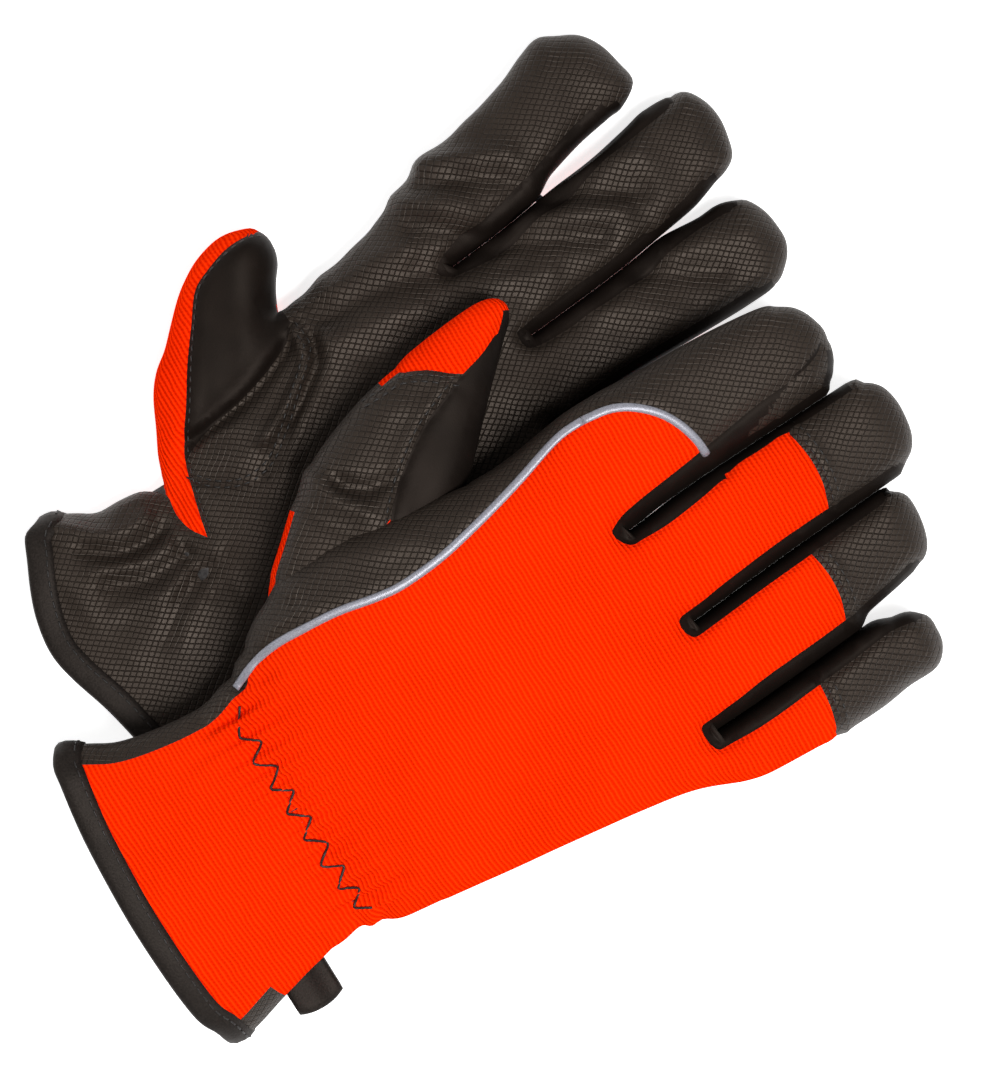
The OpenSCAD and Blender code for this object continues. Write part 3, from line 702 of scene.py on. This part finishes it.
def labels(glove, p, upper):
    """The part that each point of one sheet belongs to."""
    x, y, f = p[:, 0], p[:, 1], finger_of(glove, p)
    past = x > np.array([CUTS[glove][name] for name in FINGERS])[f]
    back_seen = upper == (glove == "right")
    result = np.full(len(p), "palm_panel", object)
    if back_seen:
        edge = ORANGE_EDGE if glove == "right" else LEFT_EDGE
        arc = KNUCKLE_ARC if glove == "right" else LEFT_ARC
        caps = CAP_ARCS if glove == "right" else LEFT_CAPS
        result[:] = "back_panel"
        result[y > side_of(edge, x)] = "index_side_panel"
    for k, name in enumerate(FINGERS):
        own = past & (f == k)
        result[own] = f"{name}_back" if back_seen else f"{name}_palm"
        if back_seen and k:
            line = caps[name][np.argsort(caps[name][:, 1])]
            result[own & (x > np.interp(y, line[:, 1], line[:, 0]))] = f"{name}_tip_cap"
    if back_seen:
        inner = past & (f == 0) & (x < arc[-1, 0]) & (y < side_of(arc, x))
        result[inner] = "index_knuckle"
    if glove == "right" and upper:
        result[(x < PALM_SHOWS[0]) & (y < PALM_SHOWS[1])] = "palm_panel"
    if glove == "right" and not upper:
        along = (x > RIGHT_SADDLE[0, 0]) & (x < RIGHT_SADDLE[-1, 0])
        result[along & (y > side_of(RIGHT_SADDLE, x))] = "saddle_patch"
    if upper:
        result = strips(glove, p, result)
    if glove == "left":
        result = left_thumb_labels(p, upper, result)
    return result


def strips(glove, p, result):
    """Marks the fourchettes that show beside the slots, on an upper sheet."""
    f = finger_of(glove, p)
    for slot in SLOTS_SEEN[glove]:
        own = inside(p, slot)
        result[own] = np.array([fourchette(k) for k in range(4)], object)[f[own]]
    return result


def fourchette(k):
    return f"{FINGERS[k]}_fourchette" + ("s" if k in (1, 2) else "")


def left_thumb_labels(p, upper, result):
    x, y = p[:, 0], p[:, 1]
    own = (x < 118.6) | ((x < 128.5) & (y > 119))
    if not upper:
        thumb = own & (root_side("left", p) > 0) & (x > 62)
        result[thumb] = "thumb_back"
        result[thumb & inside(p, LEFT_PATCH)] = "thumb_patch"
        result[thumb & (x > 117.5) & (y < 138) & (x > 113 + (y - 118) * 0.5)] = "thumb_palm"
        return result
    crease = side_of(LEFT_THUMB_CREASE, x)
    saddle = side_of(LEFT_SADDLE, x)
    result[(x > 70.5) & (x < 121.8) & (y > saddle) & (y < crease) & own] = "saddle_patch"
    result[own & (x > 70) & (y > crease) & (y > 92)] = "thumb_palm"
    band = np.vstack([LEFT_THUMB_SEAM, LEFT_THUMB_OUTER, [(61, 100), (75, 150), (133, 150)]])
    result[inside(p, band)] = "thumb_back"
    return result


def thumb_labels(p, upper):
    result = np.full(len(p), "thumb_palm", object)
    if upper:
        over = (p[:, 1] > side_of(THUMB_SEAM, p[:, 0])) | (p[:, 0] < 96)
        result[over] = "thumb_back"
        result[in_thumb_patch(p)] = "thumb_patch"
    return result


def skin_labels(glove, skin):
    """The part that each triangle of a skin belongs to."""
    c, sheet = skin["centre"], skin["sheet"]
    upper = sheet < 2
    if glove == "thumb":
        result = np.where(upper, thumb_labels(c, True), thumb_labels(c, False))
        return np.array(["right_" + name for name in result], object)
    result = np.where(upper, labels(glove, c, True), labels(glove, c, False))
    side = (sheet == 1) | (sheet == 2)
    f = finger_of(glove, c)
    between = side & faces_a_finger(glove, c)
    result[between] = np.array([fourchette(k) for k in range(4)], object)[f[between]]
    return np.array([f"{glove}_{name}" for name in result], object)


# ---- materials

def material(name, paint, **values):
    """A material. paint(tree) gives the shader's inputs that are linked, and the bump's height and depth in mm."""
    made = bpy.data.materials.new(name)
    made.use_nodes = True
    tree = made.node_tree
    shader = tree.nodes["Principled BSDF"]
    linked, height, depth = paint(tree)
    for socket, value in linked.items():
        tree.links.new(value, shader.inputs[socket])
    for socket, value in values.items():
        shader.inputs[socket.replace("_", " ")].default_value = value
    if depth:
        bump = tree.nodes.new("ShaderNodeBump")
        bump.inputs["Strength"].default_value = 1.0
        bump.inputs["Distance"].default_value = depth * MM
        tree.links.new(height, bump.inputs["Height"])
        tree.links.new(bump.outputs[0], shader.inputs["Normal"])
    return made


def node(tree, kind, *inputs, **settings):
    """A shader node; its inputs are values or other nodes' outputs."""
    made = tree.nodes.new(kind)
    for name, value in settings.items():
        setattr(made, name, value)
    for i, value in enumerate(inputs):
        if isinstance(value, bpy.types.NodeSocket):
            tree.links.new(value, made.inputs[i])
        elif value is not None:
            made.inputs[i].default_value = value
    return made.outputs[0]


def calc(tree, operation, *inputs):
    return node(tree, "ShaderNodeMath", *inputs, operation=operation)


def flat_place(tree):
    """The cloth's own x and y in millimetres, and the vector of them."""
    uv = tree.nodes.new("ShaderNodeUVMap")
    uv.uv_map = "flat"
    split = tree.nodes.new("ShaderNodeSeparateXYZ")
    tree.links.new(uv.outputs[0], split.inputs[0])
    return split.outputs[0], split.outputs[1], uv.outputs[0]


def noise(tree, vector, scale, detail=2.0):
    made = tree.nodes.new("ShaderNodeTexNoise")
    tree.links.new(vector, made.inputs["Vector"])
    made.inputs["Scale"].default_value = scale
    made.inputs["Detail"].default_value = detail
    return made.outputs[0]


def ramp(tree, value, *stops):
    made = tree.nodes.new("ShaderNodeValToRGB")
    tree.links.new(value, made.inputs[0])
    elements = made.color_ramp.elements
    while len(elements) < len(stops):
        elements.new(0.5)
    for element, (place_, colour) in zip(elements, stops):
        element.position = place_
        element.color = (*colour, 1)
    return made.outputs[0]


def wave(tree, value, length):
    """A wave from 0 to 1 of this length."""
    turn = calc(tree, "MULTIPLY", value, math.tau / length)
    return calc(tree, "MULTIPLY_ADD", calc(tree, "COSINE", turn), 0.5, 0.5)


RIB = 1.3
STITCH = 1.05
DIAMOND = (2.55, 1.95)


def knit(tree):
    """Fluorescent rib knit: ribs run across the hand, with fine stitches along each."""
    x, y, flat = flat_place(tree)
    sway = calc(tree, "MULTIPLY_ADD", noise(tree, flat, 0.16), 1.1, x)
    ribs = wave(tree, sway, RIB)
    stitched = wave(tree, calc(tree, "MULTIPLY_ADD", sway, 0.5 * STITCH / RIB, y), STITCH)
    fuzz = noise(tree, flat, 2.4, 3)
    height = calc(tree, "MULTIPLY_ADD", stitched, 0.15, calc(tree, "MULTIPLY_ADD", fuzz, 0.25, ribs))
    patchy = noise(tree, flat, 0.03)
    # painted shade: the colour darkens down into the grooves between the ribs, over a random patchy tone
    painted_rib_shade_and_tone = calc(tree, "MULTIPLY_ADD", patchy, 0.25, calc(tree, "MULTIPLY", height, 0.6))
    colour = ramp(tree, painted_rib_shade_and_tone, (0.1, (0.50, 0.0065, 0.0)), (0.42, (0.86, 0.0175, 0.0)),
                  (0.85, (1.0, 0.034, 0.0012)))
    # the emission is a painted glow that stands in for the cloth's fluorescence
    return {"Base Color": colour, "Emission Color": colour}, height, 0.34


def grained(tree):
    """Dark synthetic leather, embossed with small diamonds."""
    x, y, flat = flat_place(tree)
    wide, tall = DIAMOND
    drift = calc(tree, "MULTIPLY", noise(tree, flat, 0.08), 1.0)
    across = calc(tree, "MULTIPLY_ADD", x, 1 / wide, drift)
    up = calc(tree, "MULTIPLY", y, 1 / tall)
    one, two = (calc(tree, "PINGPONG", calc(tree, way, across, up), 0.5) for way in ("ADD", "SUBTRACT"))
    groove = calc(tree, "MINIMUM", one, two)
    plateau = calc(tree, "SMOOTH_MIN", calc(tree, "MULTIPLY", groove, 7.0), 1.0, 0.4)
    height = calc(tree, "MULTIPLY_ADD", noise(tree, flat, 3.2, 3), 0.25, plateau)
    worn = noise(tree, flat, 0.05, 3)
    # painted shade: the grooves between the diamonds are coloured darker than their raised tops, under a random
    # worn tone
    tone = calc(tree, "MULTIPLY_ADD", plateau, 0.55, calc(tree, "MULTIPLY", worn, 0.4))
    colour = ramp(tree, tone, (0.1, (0.0036, 0.0024, 0.0018)), (0.9, (0.0215, 0.0150, 0.0112)))
    rough = calc(tree, "MULTIPLY_ADD", worn, 0.2, 0.42)
    return {"Base Color": colour, "Roughness": rough}, height, 0.16


def soft(tree):
    """Dark soft cloth between the fingers and on the thumb's palm side."""
    flat = flat_place(tree)[2]
    fine, broad = noise(tree, flat, 2.6, 4), noise(tree, flat, 0.09, 3)
    tone = calc(tree, "MULTIPLY_ADD", fine, 0.3, calc(tree, "MULTIPLY", broad, 0.6))
    colour = ramp(tree, tone, (0.2, (0.0016, 0.0010, 0.0008)), (0.75, (0.0080, 0.0050, 0.0038)))
    return {"Base Color": colour}, tone, 0.16


def even(scale, dark, light, depth=0.0, detail=3.0):
    """The paint of a material with a fine, even grain."""
    def paint(tree):
        grain = noise(tree, tree.nodes.new("ShaderNodeTexCoord").outputs["Object"], scale, detail)
        return {"Base Color": ramp(tree, grain, (0.3, dark), (0.7, light))}, grain, depth
    return paint


def plain(tree):
    """The paint of a material without a pattern."""
    return {}, None, 0


MATERIALS = {
    # the knit's weak emission is a painted glow that stands in for its fluorescence
    "knit": material("hivis_knit", knit, Roughness=0.9, Emission_Strength=0.12, Specular_IOR_Level=0.0),
    "grain": material("grained_synthetic", grained, Specular_IOR_Level=0.36, Specular_Tint=(1, 0.84, 0.72, 1)),
    "soft": material("smooth_synthetic", soft, Roughness=0.6, Specular_IOR_Level=0.18,
                     Specular_Tint=(1, 0.82, 0.7, 1)),
    "tape": material("binding_tape", even(1800, (0.0035, 0.0026, 0.0022), (0.014, 0.011, 0.0095), 0.12),
                     Roughness=0.62, Specular_IOR_Level=0.25, Specular_Tint=(1, 0.85, 0.75, 1)),
    # the piping's fine light speckle is the grain of its glass beads with painted glints of them
    "piping": material("reflective_piping", even(3500, (0.19, 0.19, 0.22), (0.35, 0.35, 0.40), 0.05, 1.0),
                       Roughness=0.42, Metallic=0.25),
    "thread": material("thread", even(2500, (0.005, 0.004, 0.0035), (0.018, 0.014, 0.012)), Roughness=0.55),
    "elastic": material("elastic", even(900, (0.012, 0.010, 0.010), (0.05, 0.045, 0.043), 0.2), Roughness=0.8)}


# ---- details on the skins

class Surface:
    """Finds points and normals on a skin."""

    def __init__(self, skin):
        self.skin = skin
        self.tree = BVHTree.FromPolygons(skin["points"].tolist(), skin["faces"].tolist())

    def normal(self, index):
        n = self.skin["normals"][self.skin["faces"][index]].sum(0)
        return n / np.linalg.norm(n)

    def over(self, line, upper=True):
        """The points and normals of the upper or lower surface over a flat line."""
        points, normals = [], []
        for x, y in line:
            start = Vector((x, y, 300 if upper else -100))
            hit, _, index, _ = self.tree.ray_cast(start, Vector((0, 0, -1 if upper else 1)))
            if hit is not None:
                points.append(tuple(hit))
                normals.append(self.normal(index))
        return eased(np.array(points)), eased(np.array(normals))

    def near(self, point):
        hit, _, index, _ = self.tree.find_nearest(Vector(point))
        return np.array(hit), self.normal(index)


def unit(v):
    return v / np.maximum(np.linalg.norm(v, axis=-1, keepdims=True), 1e-12)


def rings_to_mesh(rings, closed):
    """Points and faces of a tube through equal rings of points."""
    n, m = len(rings), len(rings[0])
    points = np.vstack(rings)
    faces = []
    for i in range(n if closed else n - 1):
        for j in range(m):
            a, b = i * m, ((i + 1) % n) * m
            faces.append([a + j, a + (j + 1) % m, b + (j + 1) % m, b + j])
    if not closed:
        faces += [list(range(m))[::-1], [(n - 1) * m + j for j in range(m)]]
    return points, faces


def tube(path, normals, half_w, half_h, sides=8, lift=0.0):
    """A rounded strip along a path, lying on the surface whose normals are given."""
    along = unit(np.gradient(path, axis=0))
    across = unit(np.cross(normals, along))
    turn = np.arange(sides) * math.tau / sides
    rings = [p + n * lift + s * half_w * np.cos(turn)[:, None] + n * half_h * np.sin(turn)[:, None]
             for p, n, s in zip(path, normals, across)]
    return rings_to_mesh(rings, False)


def joined(parts):
    """Several meshes as one."""
    points, faces, count = [], [], 0
    for p, f in parts:
        points.append(p)
        faces += [[i + count for i in face] for face in f]
        count += len(p)
    return np.vstack(points), faces


def shifted(line, step):
    """A flat line moved sideways."""
    t = unit(np.gradient(line, axis=0))
    return line + np.column_stack([-t[:, 1], t[:, 0]]) * step


DASH = 2.0
DASH_GAP = 0.9
THREAD_R = 0.27


def dashes(path, normals, heights=(0, 0, 0, 0, 0)):
    """Dashes of thread along points on a surface, with the heights of a dash's points over it."""
    travelled = np.concatenate([[0], np.cumsum(np.linalg.norm(np.diff(path, axis=0), axis=1))])
    made = []
    for start in np.arange(0.5, travelled[-1] - DASH, DASH + DASH_GAP):
        places = start + DASH * np.linspace(0, 1, 5)
        p, n = (np.column_stack([np.interp(places, travelled, v[:, k]) for k in range(3)]) for v in (path, normals))
        n = unit(n)
        made.append(tube(p + n * np.array(heights)[:, None], n, THREAD_R, THREAD_R * 0.8, 5))
    return made


def stitches(surface, line):
    """Dashes of thread along a flat line, their ends sunk into the cloth."""
    path, normals = surface.over(line)
    return dashes(path, normals, (-0.2, 0.1, 0.16, 0.1, -0.2)) if len(path) > 2 else []


def cuff_ring(skin):
    """The skin's points round the cuff's edge."""
    rows, cuff = skin["rows"], skin["cuff_ids"]
    return np.concatenate([[rows[0][-1]], cuff, [rows[0][0]], [row[0] for row in rows[1:-1]], [rows[-1][0]],
                           cuff[::-1] + skin["count"], [rows[-1][-1]], [row[-1] for row in rows[-2:0:-1]]])


BINDING_W = 6.6
BINDING_T = 0.75


def binding(skin, surface):
    """Tape folded over the cuff's edge, and its line of stitches."""
    ids = cuff_ring(skin)
    edge, normals = skin["points"][ids], skin["normals"][ids]
    edge = closed_ease(edge)
    normals = unit(closed_ease(normals))
    along = unit(np.roll(edge, -1, 0) - np.roll(edge, 1, 0))
    inward = unit(np.cross(normals, along))
    inward *= np.sign(inward[:, :1] + 1e-9)
    inward = unit(closed_ease(inward, 4))
    rings, seam = [], []
    for p, n, d in zip(edge, normals, inward):
        ring = []
        for step, lift in ((BINDING_W, -0.3), (BINDING_W, 0.45), (BINDING_W - 1.4, 0.85), (3.4, BINDING_T + 0.35),
                           (1.6, BINDING_T + 0.3)):
            q, m = surface.near(p + d * step)
            ring.append(q + m * lift)
        back = -CLOTH_T - BINDING_T
        ring += [p - d * 0.2 + n * (BINDING_T + 0.1), p - d * 0.85 + n * 0.1, p - d * 0.85 + n * (back + 0.4),
                 p - d * 0.2 + n * back]
        for step in (2.5, BINDING_W - 0.8):
            q, m = surface.near(p + d * step)
            ring.append(q + m * back)
        rings.append(np.array(ring))
        q, m = surface.near(p + d * (BINDING_W - 1.7))
        seam.append((q + m * 0.95, m))
    path, up = np.array([s[0] for s in seam]), np.array([s[1] for s in seam])
    return rings_to_mesh(rings, True), dashes(path, up)


def closed_ease(values, rounds=2):
    for _ in range(rounds):
        values = (np.roll(values, 1, 0) + 2 * values + np.roll(values, -1, 0)) / 4
    return values


def elastic_ring(glove, x):
    """The elastic inside the wrist."""
    form = FORM[glove]
    line = curve(form["outline"], 2)
    near = line[np.abs(line[:, 0] - x) < 2.5]
    lo, hi = near[:, 1].min(), near[:, 1].max()
    rings = []
    for turn in np.linspace(0, math.tau, 72, endpoint=False):
        c, s = (math.copysign(abs(v) ** (2 / ROUNDNESS), v) for v in (math.cos(turn), math.sin(turn)))
        ring = []
        for step, inset in ((-4, 2.0), (4, 2.0), (4, 3.1), (-4, 3.1)):
            y = (lo + hi) / 2 + ((hi - lo) / 2 - inset - 0.6) * c
            semi = float(at(x + step, form["semi"])) - inset
            z = max(float(at(x + step, form["mid"])) + semi * s, inset) + form["lean"] * (y - form["lean_from"])
            ring.append((x + step, y, z))
        rings.append(np.array(ring))
    return rings_to_mesh(rings, True)


ZIGZAG = {
    "right": pairs("""50.5,29.5 45.5,22 51,18.5 45,14.5 51,10 45,6 51,2.5 45,-2 51,-6 45,-10.5 51,-14.5
                      45,-19 51,-22.5 45.3,-27 51,-30 45.8,-34 50.5,-36.5"""),
    "left": [(62 + 5 * (k % 2), 26 + 4 * k) for k in range(15)]}


def zigzag(glove, surface):
    """The thread that holds the elastic, sewn as a zigzag over the wrist."""
    corners = np.array(ZIGZAG[glove], float) + (3 if glove == "right" else 0, 0)
    line = np.vstack([np.linspace(a, b, 9)[:-1] for a, b in zip(corners, corners[1:])] + [corners[-1:]])
    path, normals = surface.over(line, glove == "right")
    lift = 0.24 + 0.1 * np.sin(np.arange(len(path)) * math.tau / 3)
    return tube(path + normals * lift[:, None], normals, 0.36, 0.3, 6)


# how far the loop runs on under the cuff's edge
LOOP_SEWN = 6


def cuff_loop(node_name):
    """A short folded loop of tape, which fills the box of its CAD node."""
    lo, hi = (np.array(v) / MM + FOOTPRINT_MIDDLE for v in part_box(node_name))
    hi[1] += LOOP_SEWN
    middle, reach, half = (lo[2] + hi[2]) / 2, hi[1] - lo[1], (hi[2] - lo[2]) / 2
    u = np.linspace(0, 1, 7)
    turn = np.linspace(math.pi / 2, -math.pi / 2, 9)
    fold = [(hi[1] - reach * 0.75 * t, half) for t in u[:-1]]
    fold += [(hi[1] - reach * 0.75 - reach * 0.25 * math.cos(a), half * math.sin(a)) for a in turn]
    fold += [(hi[1] - reach * 0.75 * t, -half) for t in u[::-1][1:]]
    outer = np.array(fold)
    t = unit(np.gradient(outer, axis=0))
    inner = outer + np.column_stack([-t[:, 1], t[:, 0]]) * 1.0
    section = np.vstack([outer, inner[::-1]])
    rings = []
    for x in np.linspace(lo[0], hi[0], 12):
        puff = 0.35 * math.sin((x - lo[0]) * 0.7)
        squeeze = 1 - 0.5 * abs((x - (lo[0] + hi[0]) / 2) / (hi[0] - lo[0])) ** 2
        rings.append(np.column_stack([np.full(len(section), x), hi[1] - (hi[1] - section[:, 0]) * squeeze,
                                      middle + section[:, 1] + puff]))
    points, faces = rings_to_mesh(rings, False)
    return points, faces


# ---- the pieces and how they ride


def cloth_of(part):
    """The kind of cloth of a panel."""
    if "fourchette" in part or part.endswith("thumb_palm"):
        return "soft"
    knitted = ("back_panel", "index_knuckle", "thumb_back", "middle_back", "ring_back", "little_back")
    return "knit" if part.endswith(knitted) else "grain"


def attach(obj, part, replaces=True):
    """Rides with its body, or keeps its place, and stands for its CAD node."""
    glove, rest = part.split("_", 1)
    name = "index" if rest == "knuckle_piping" else rest.split("_")[0]
    # Blender adds a number to a name that the CAD's own material has
    if name == "thumb":
        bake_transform(obj)
    elif rest == "index_side_panel" or name not in FINGERS or part.startswith("left_little"):
        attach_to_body(obj, f"{glove}_loop" if part == "right_cuff_loop" else f"{glove}_hand")
    else:
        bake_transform(obj)
    if replaces:
        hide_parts(part)
    return obj


def panels(glove, skin):
    """One piece for every panel of a skin."""
    names = skin_labels(glove, skin)
    for part in sorted(set(names)):
        kind = cloth_of(part)
        points, faces, normals, uv = thick_piece(skin, np.flatnonzero(names == part))
        attach(make("sewn_" + part, points, faces, MATERIALS[kind], normals, uv), part)


def add(name, mesh, kind, part, replaces=True):
    points, faces = mesh
    return attach(make(name, points, faces, MATERIALS[kind]), part, replaces)


def trim(glove, skin, surface):
    """The cuff's binding, elastic, zigzag and loop."""
    tape_mesh, seam = binding(skin, surface)
    add(f"sewn_{glove}_cuff_binding", tape_mesh, "tape", f"{glove}_cuff_binding")
    add(f"stitches_{glove}_binding", joined(seam), "thread", f"{glove}_cuff_binding", False)
    add(f"sewn_{glove}_wrist_elastic", elastic_ring(glove, 47.5 if glove == "right" else 64), "elastic",
        f"{glove}_wrist_elastic")
    add(f"sewn_{glove}_zigzag_thread", zigzag(glove, surface), "thread", f"{glove}_zigzag_thread")
    add(f"sewn_{glove}_cuff_loop", cuff_loop(f"{glove}_cuff_loop"), "tape", f"{glove}_cuff_loop")


PIPING_HALF = 1.25
PIPING_HIGH = 0.8


def piping(glove, surface):
    """Reflective piping along the side panel's seam, then round the index finger's knuckle."""
    edge, arc = (ORANGE_EDGE, KNUCKLE_ARC) if glove == "right" else (LEFT_EDGE, LEFT_ARC)
    start = 54 if glove == "right" else 70
    edge = edge[edge[:, 0] >= start]
    for part, line in ((f"{glove}_reflective_piping", edge), (f"{glove}_knuckle_piping", arc)):
        path, normals = surface.over(line, glove == "right")
        add("sewn_" + part, tube(path, normals, PIPING_HALF, PIPING_HIGH, 12, 0.25), "piping", part)


def on_top(glove, line, finger):
    """The part of a line that lies on a finger's back, clear of the slots beside it."""
    clear = finger_of(glove, line) == finger
    for slot in SLOTS_SEEN[glove]:
        clear &= ~inside(line, slot) & (line_distance(line, slot) > 0.8)
    return line[clear]


def topstitching(right, left, thumb):
    """Lines of thread beside the seams that show."""
    def sew(name, surface, lines, part):
        add("stitches_" + name, joined([dash for line in lines for dash in stitches(surface, line)]), "thread",
            part, False)

    for name, line in CAP_ARCS.items():
        rows = [on_top("right", shifted(line, gap), FINGERS.index(name)) for gap in (1.5, 3.4)]
        sew(f"right_{name}_cap", right, rows, f"right_{name}_tip_cap")
    beside_patch = THUMB_SEAM[(THUMB_SEAM[:, 0] > 110) & (THUMB_SEAM[:, 0] < 150)]
    sew("right_thumb", thumb, [shifted(THUMB_ARC, -1.4), shifted(THUMB_ARC, -3.2), shifted(beside_patch, 1.3)],
        "right_thumb_patch")
    sew("left_saddle", left, [shifted(LEFT_SADDLE, 1.3), shifted(LEFT_SADDLE, 3)], "left_saddle_patch")
    sew("left_thumb", left, [shifted(LEFT_THUMB_SEAM, 1.2)], "left_thumb_palm")


# ---- the picture

CAMERA_OVER = (136.2, 30.5)
# the height at which the picture's span is measured
PICTURE_HEIGHT = 14
FLOOR_HALF = 2.5
FLOOR_Z = -0.0003
FLOOR_GLOW = 0.75
WORLD_LIGHT = 0.2
CAMERA_TURN = -32
PICTURE_SPAN = 302.4
LENS = 100
SENSOR = 36


def lamp(name, location, target, size, energy):
    data = bpy.data.lights.new(name, "AREA")
    data.size, data.energy = size, energy
    obj = bpy.data.objects.new(name, data)
    obj.location = location
    obj.rotation_euler = (Vector(target) - Vector(location)).to_track_quat("-Z", "Y").to_euler()
    bpy.context.scene.collection.objects.link(obj)


def studio():
    """A pale floor, soft light and the camera."""
    corners = [(-1, -1), (1, -1), (1, 1), (-1, 1)]
    mesh = bpy.data.meshes.new("floor")
    mesh.from_pydata([(x * FLOOR_HALF, y * FLOOR_HALF, FLOOR_Z) for x, y in corners], [], [(0, 1, 2, 3)])
    mesh.materials.append(material("floor", plain, Base_Color=(0.9, 0.9, 0.9, 1), Roughness=1.0,
                                   Specular_IOR_Level=0.0, Emission_Color=(1, 1, 1, 1),
                                   Emission_Strength=FLOOR_GLOW))
    floor = bpy.data.objects.new("floor", mesh)
    bpy.context.scene.collection.objects.link(floor)
    world = bpy.data.worlds.new("studio")
    world.use_nodes = True
    tree, background = world.node_tree, world.node_tree.nodes["Background"].inputs
    background[0].default_value = (1, 1, 1, 1)
    # white to look at, but a weak light
    seen = tree.nodes.new("ShaderNodeLightPath").outputs["Is Camera Ray"]
    tree.links.new(calc(tree, "MULTIPLY_ADD", seen, 1 - WORLD_LIGHT, WORLD_LIGHT), background[1])
    bpy.context.scene.world = world
    lamp("key", (0.10, -0.34, 1.0), (0, 0, 0.02), 0.36, 12)
    lamp("fill", (-0.5, 0.9, 0.9), (0, 0, 0.02), 0.9, 3.5)
    data = bpy.data.cameras.new("camera")
    data.lens, data.sensor_width = LENS, SENSOR
    camera = bpy.data.objects.new("camera", data)
    x, y, z = place((*CAMERA_OVER, PICTURE_HEIGHT))
    camera.location = (x, y, z + PICTURE_SPAN * LENS / SENSOR * MM)
    camera.rotation_euler = (0, 0, math.radians(CAMERA_TURN))
    bpy.context.scene.collection.objects.link(camera)
    bpy.context.scene.camera = camera
    # the fluorescent cloth keeps its full colour
    bpy.context.scene.view_settings.view_transform = "Standard"


def seams_of(glove):
    lines = UPPER[glove] + LOWER[glove]
    if glove != "thumb":
        lines = lines + [cut_line(glove, k) for k in range(4)]
    return lines


right_skin = build_skin("right", seams_of("right"), right_relief)
left_skin = build_skin("left", seams_of("left"), left_relief)
thumb_skin = build_skin("thumb", seams_of("thumb"), thumb_relief)
right_surface, left_surface, thumb_surface = Surface(right_skin), Surface(left_skin), Surface(thumb_skin)
panels("right", right_skin)
panels("left", left_skin)
panels("thumb", thumb_skin)
trim("right", right_skin, right_surface)
trim("left", left_skin, left_surface)
piping("right", right_surface)
piping("left", left_surface)
topstitching(right_surface, left_surface, thumb_surface)
studio()
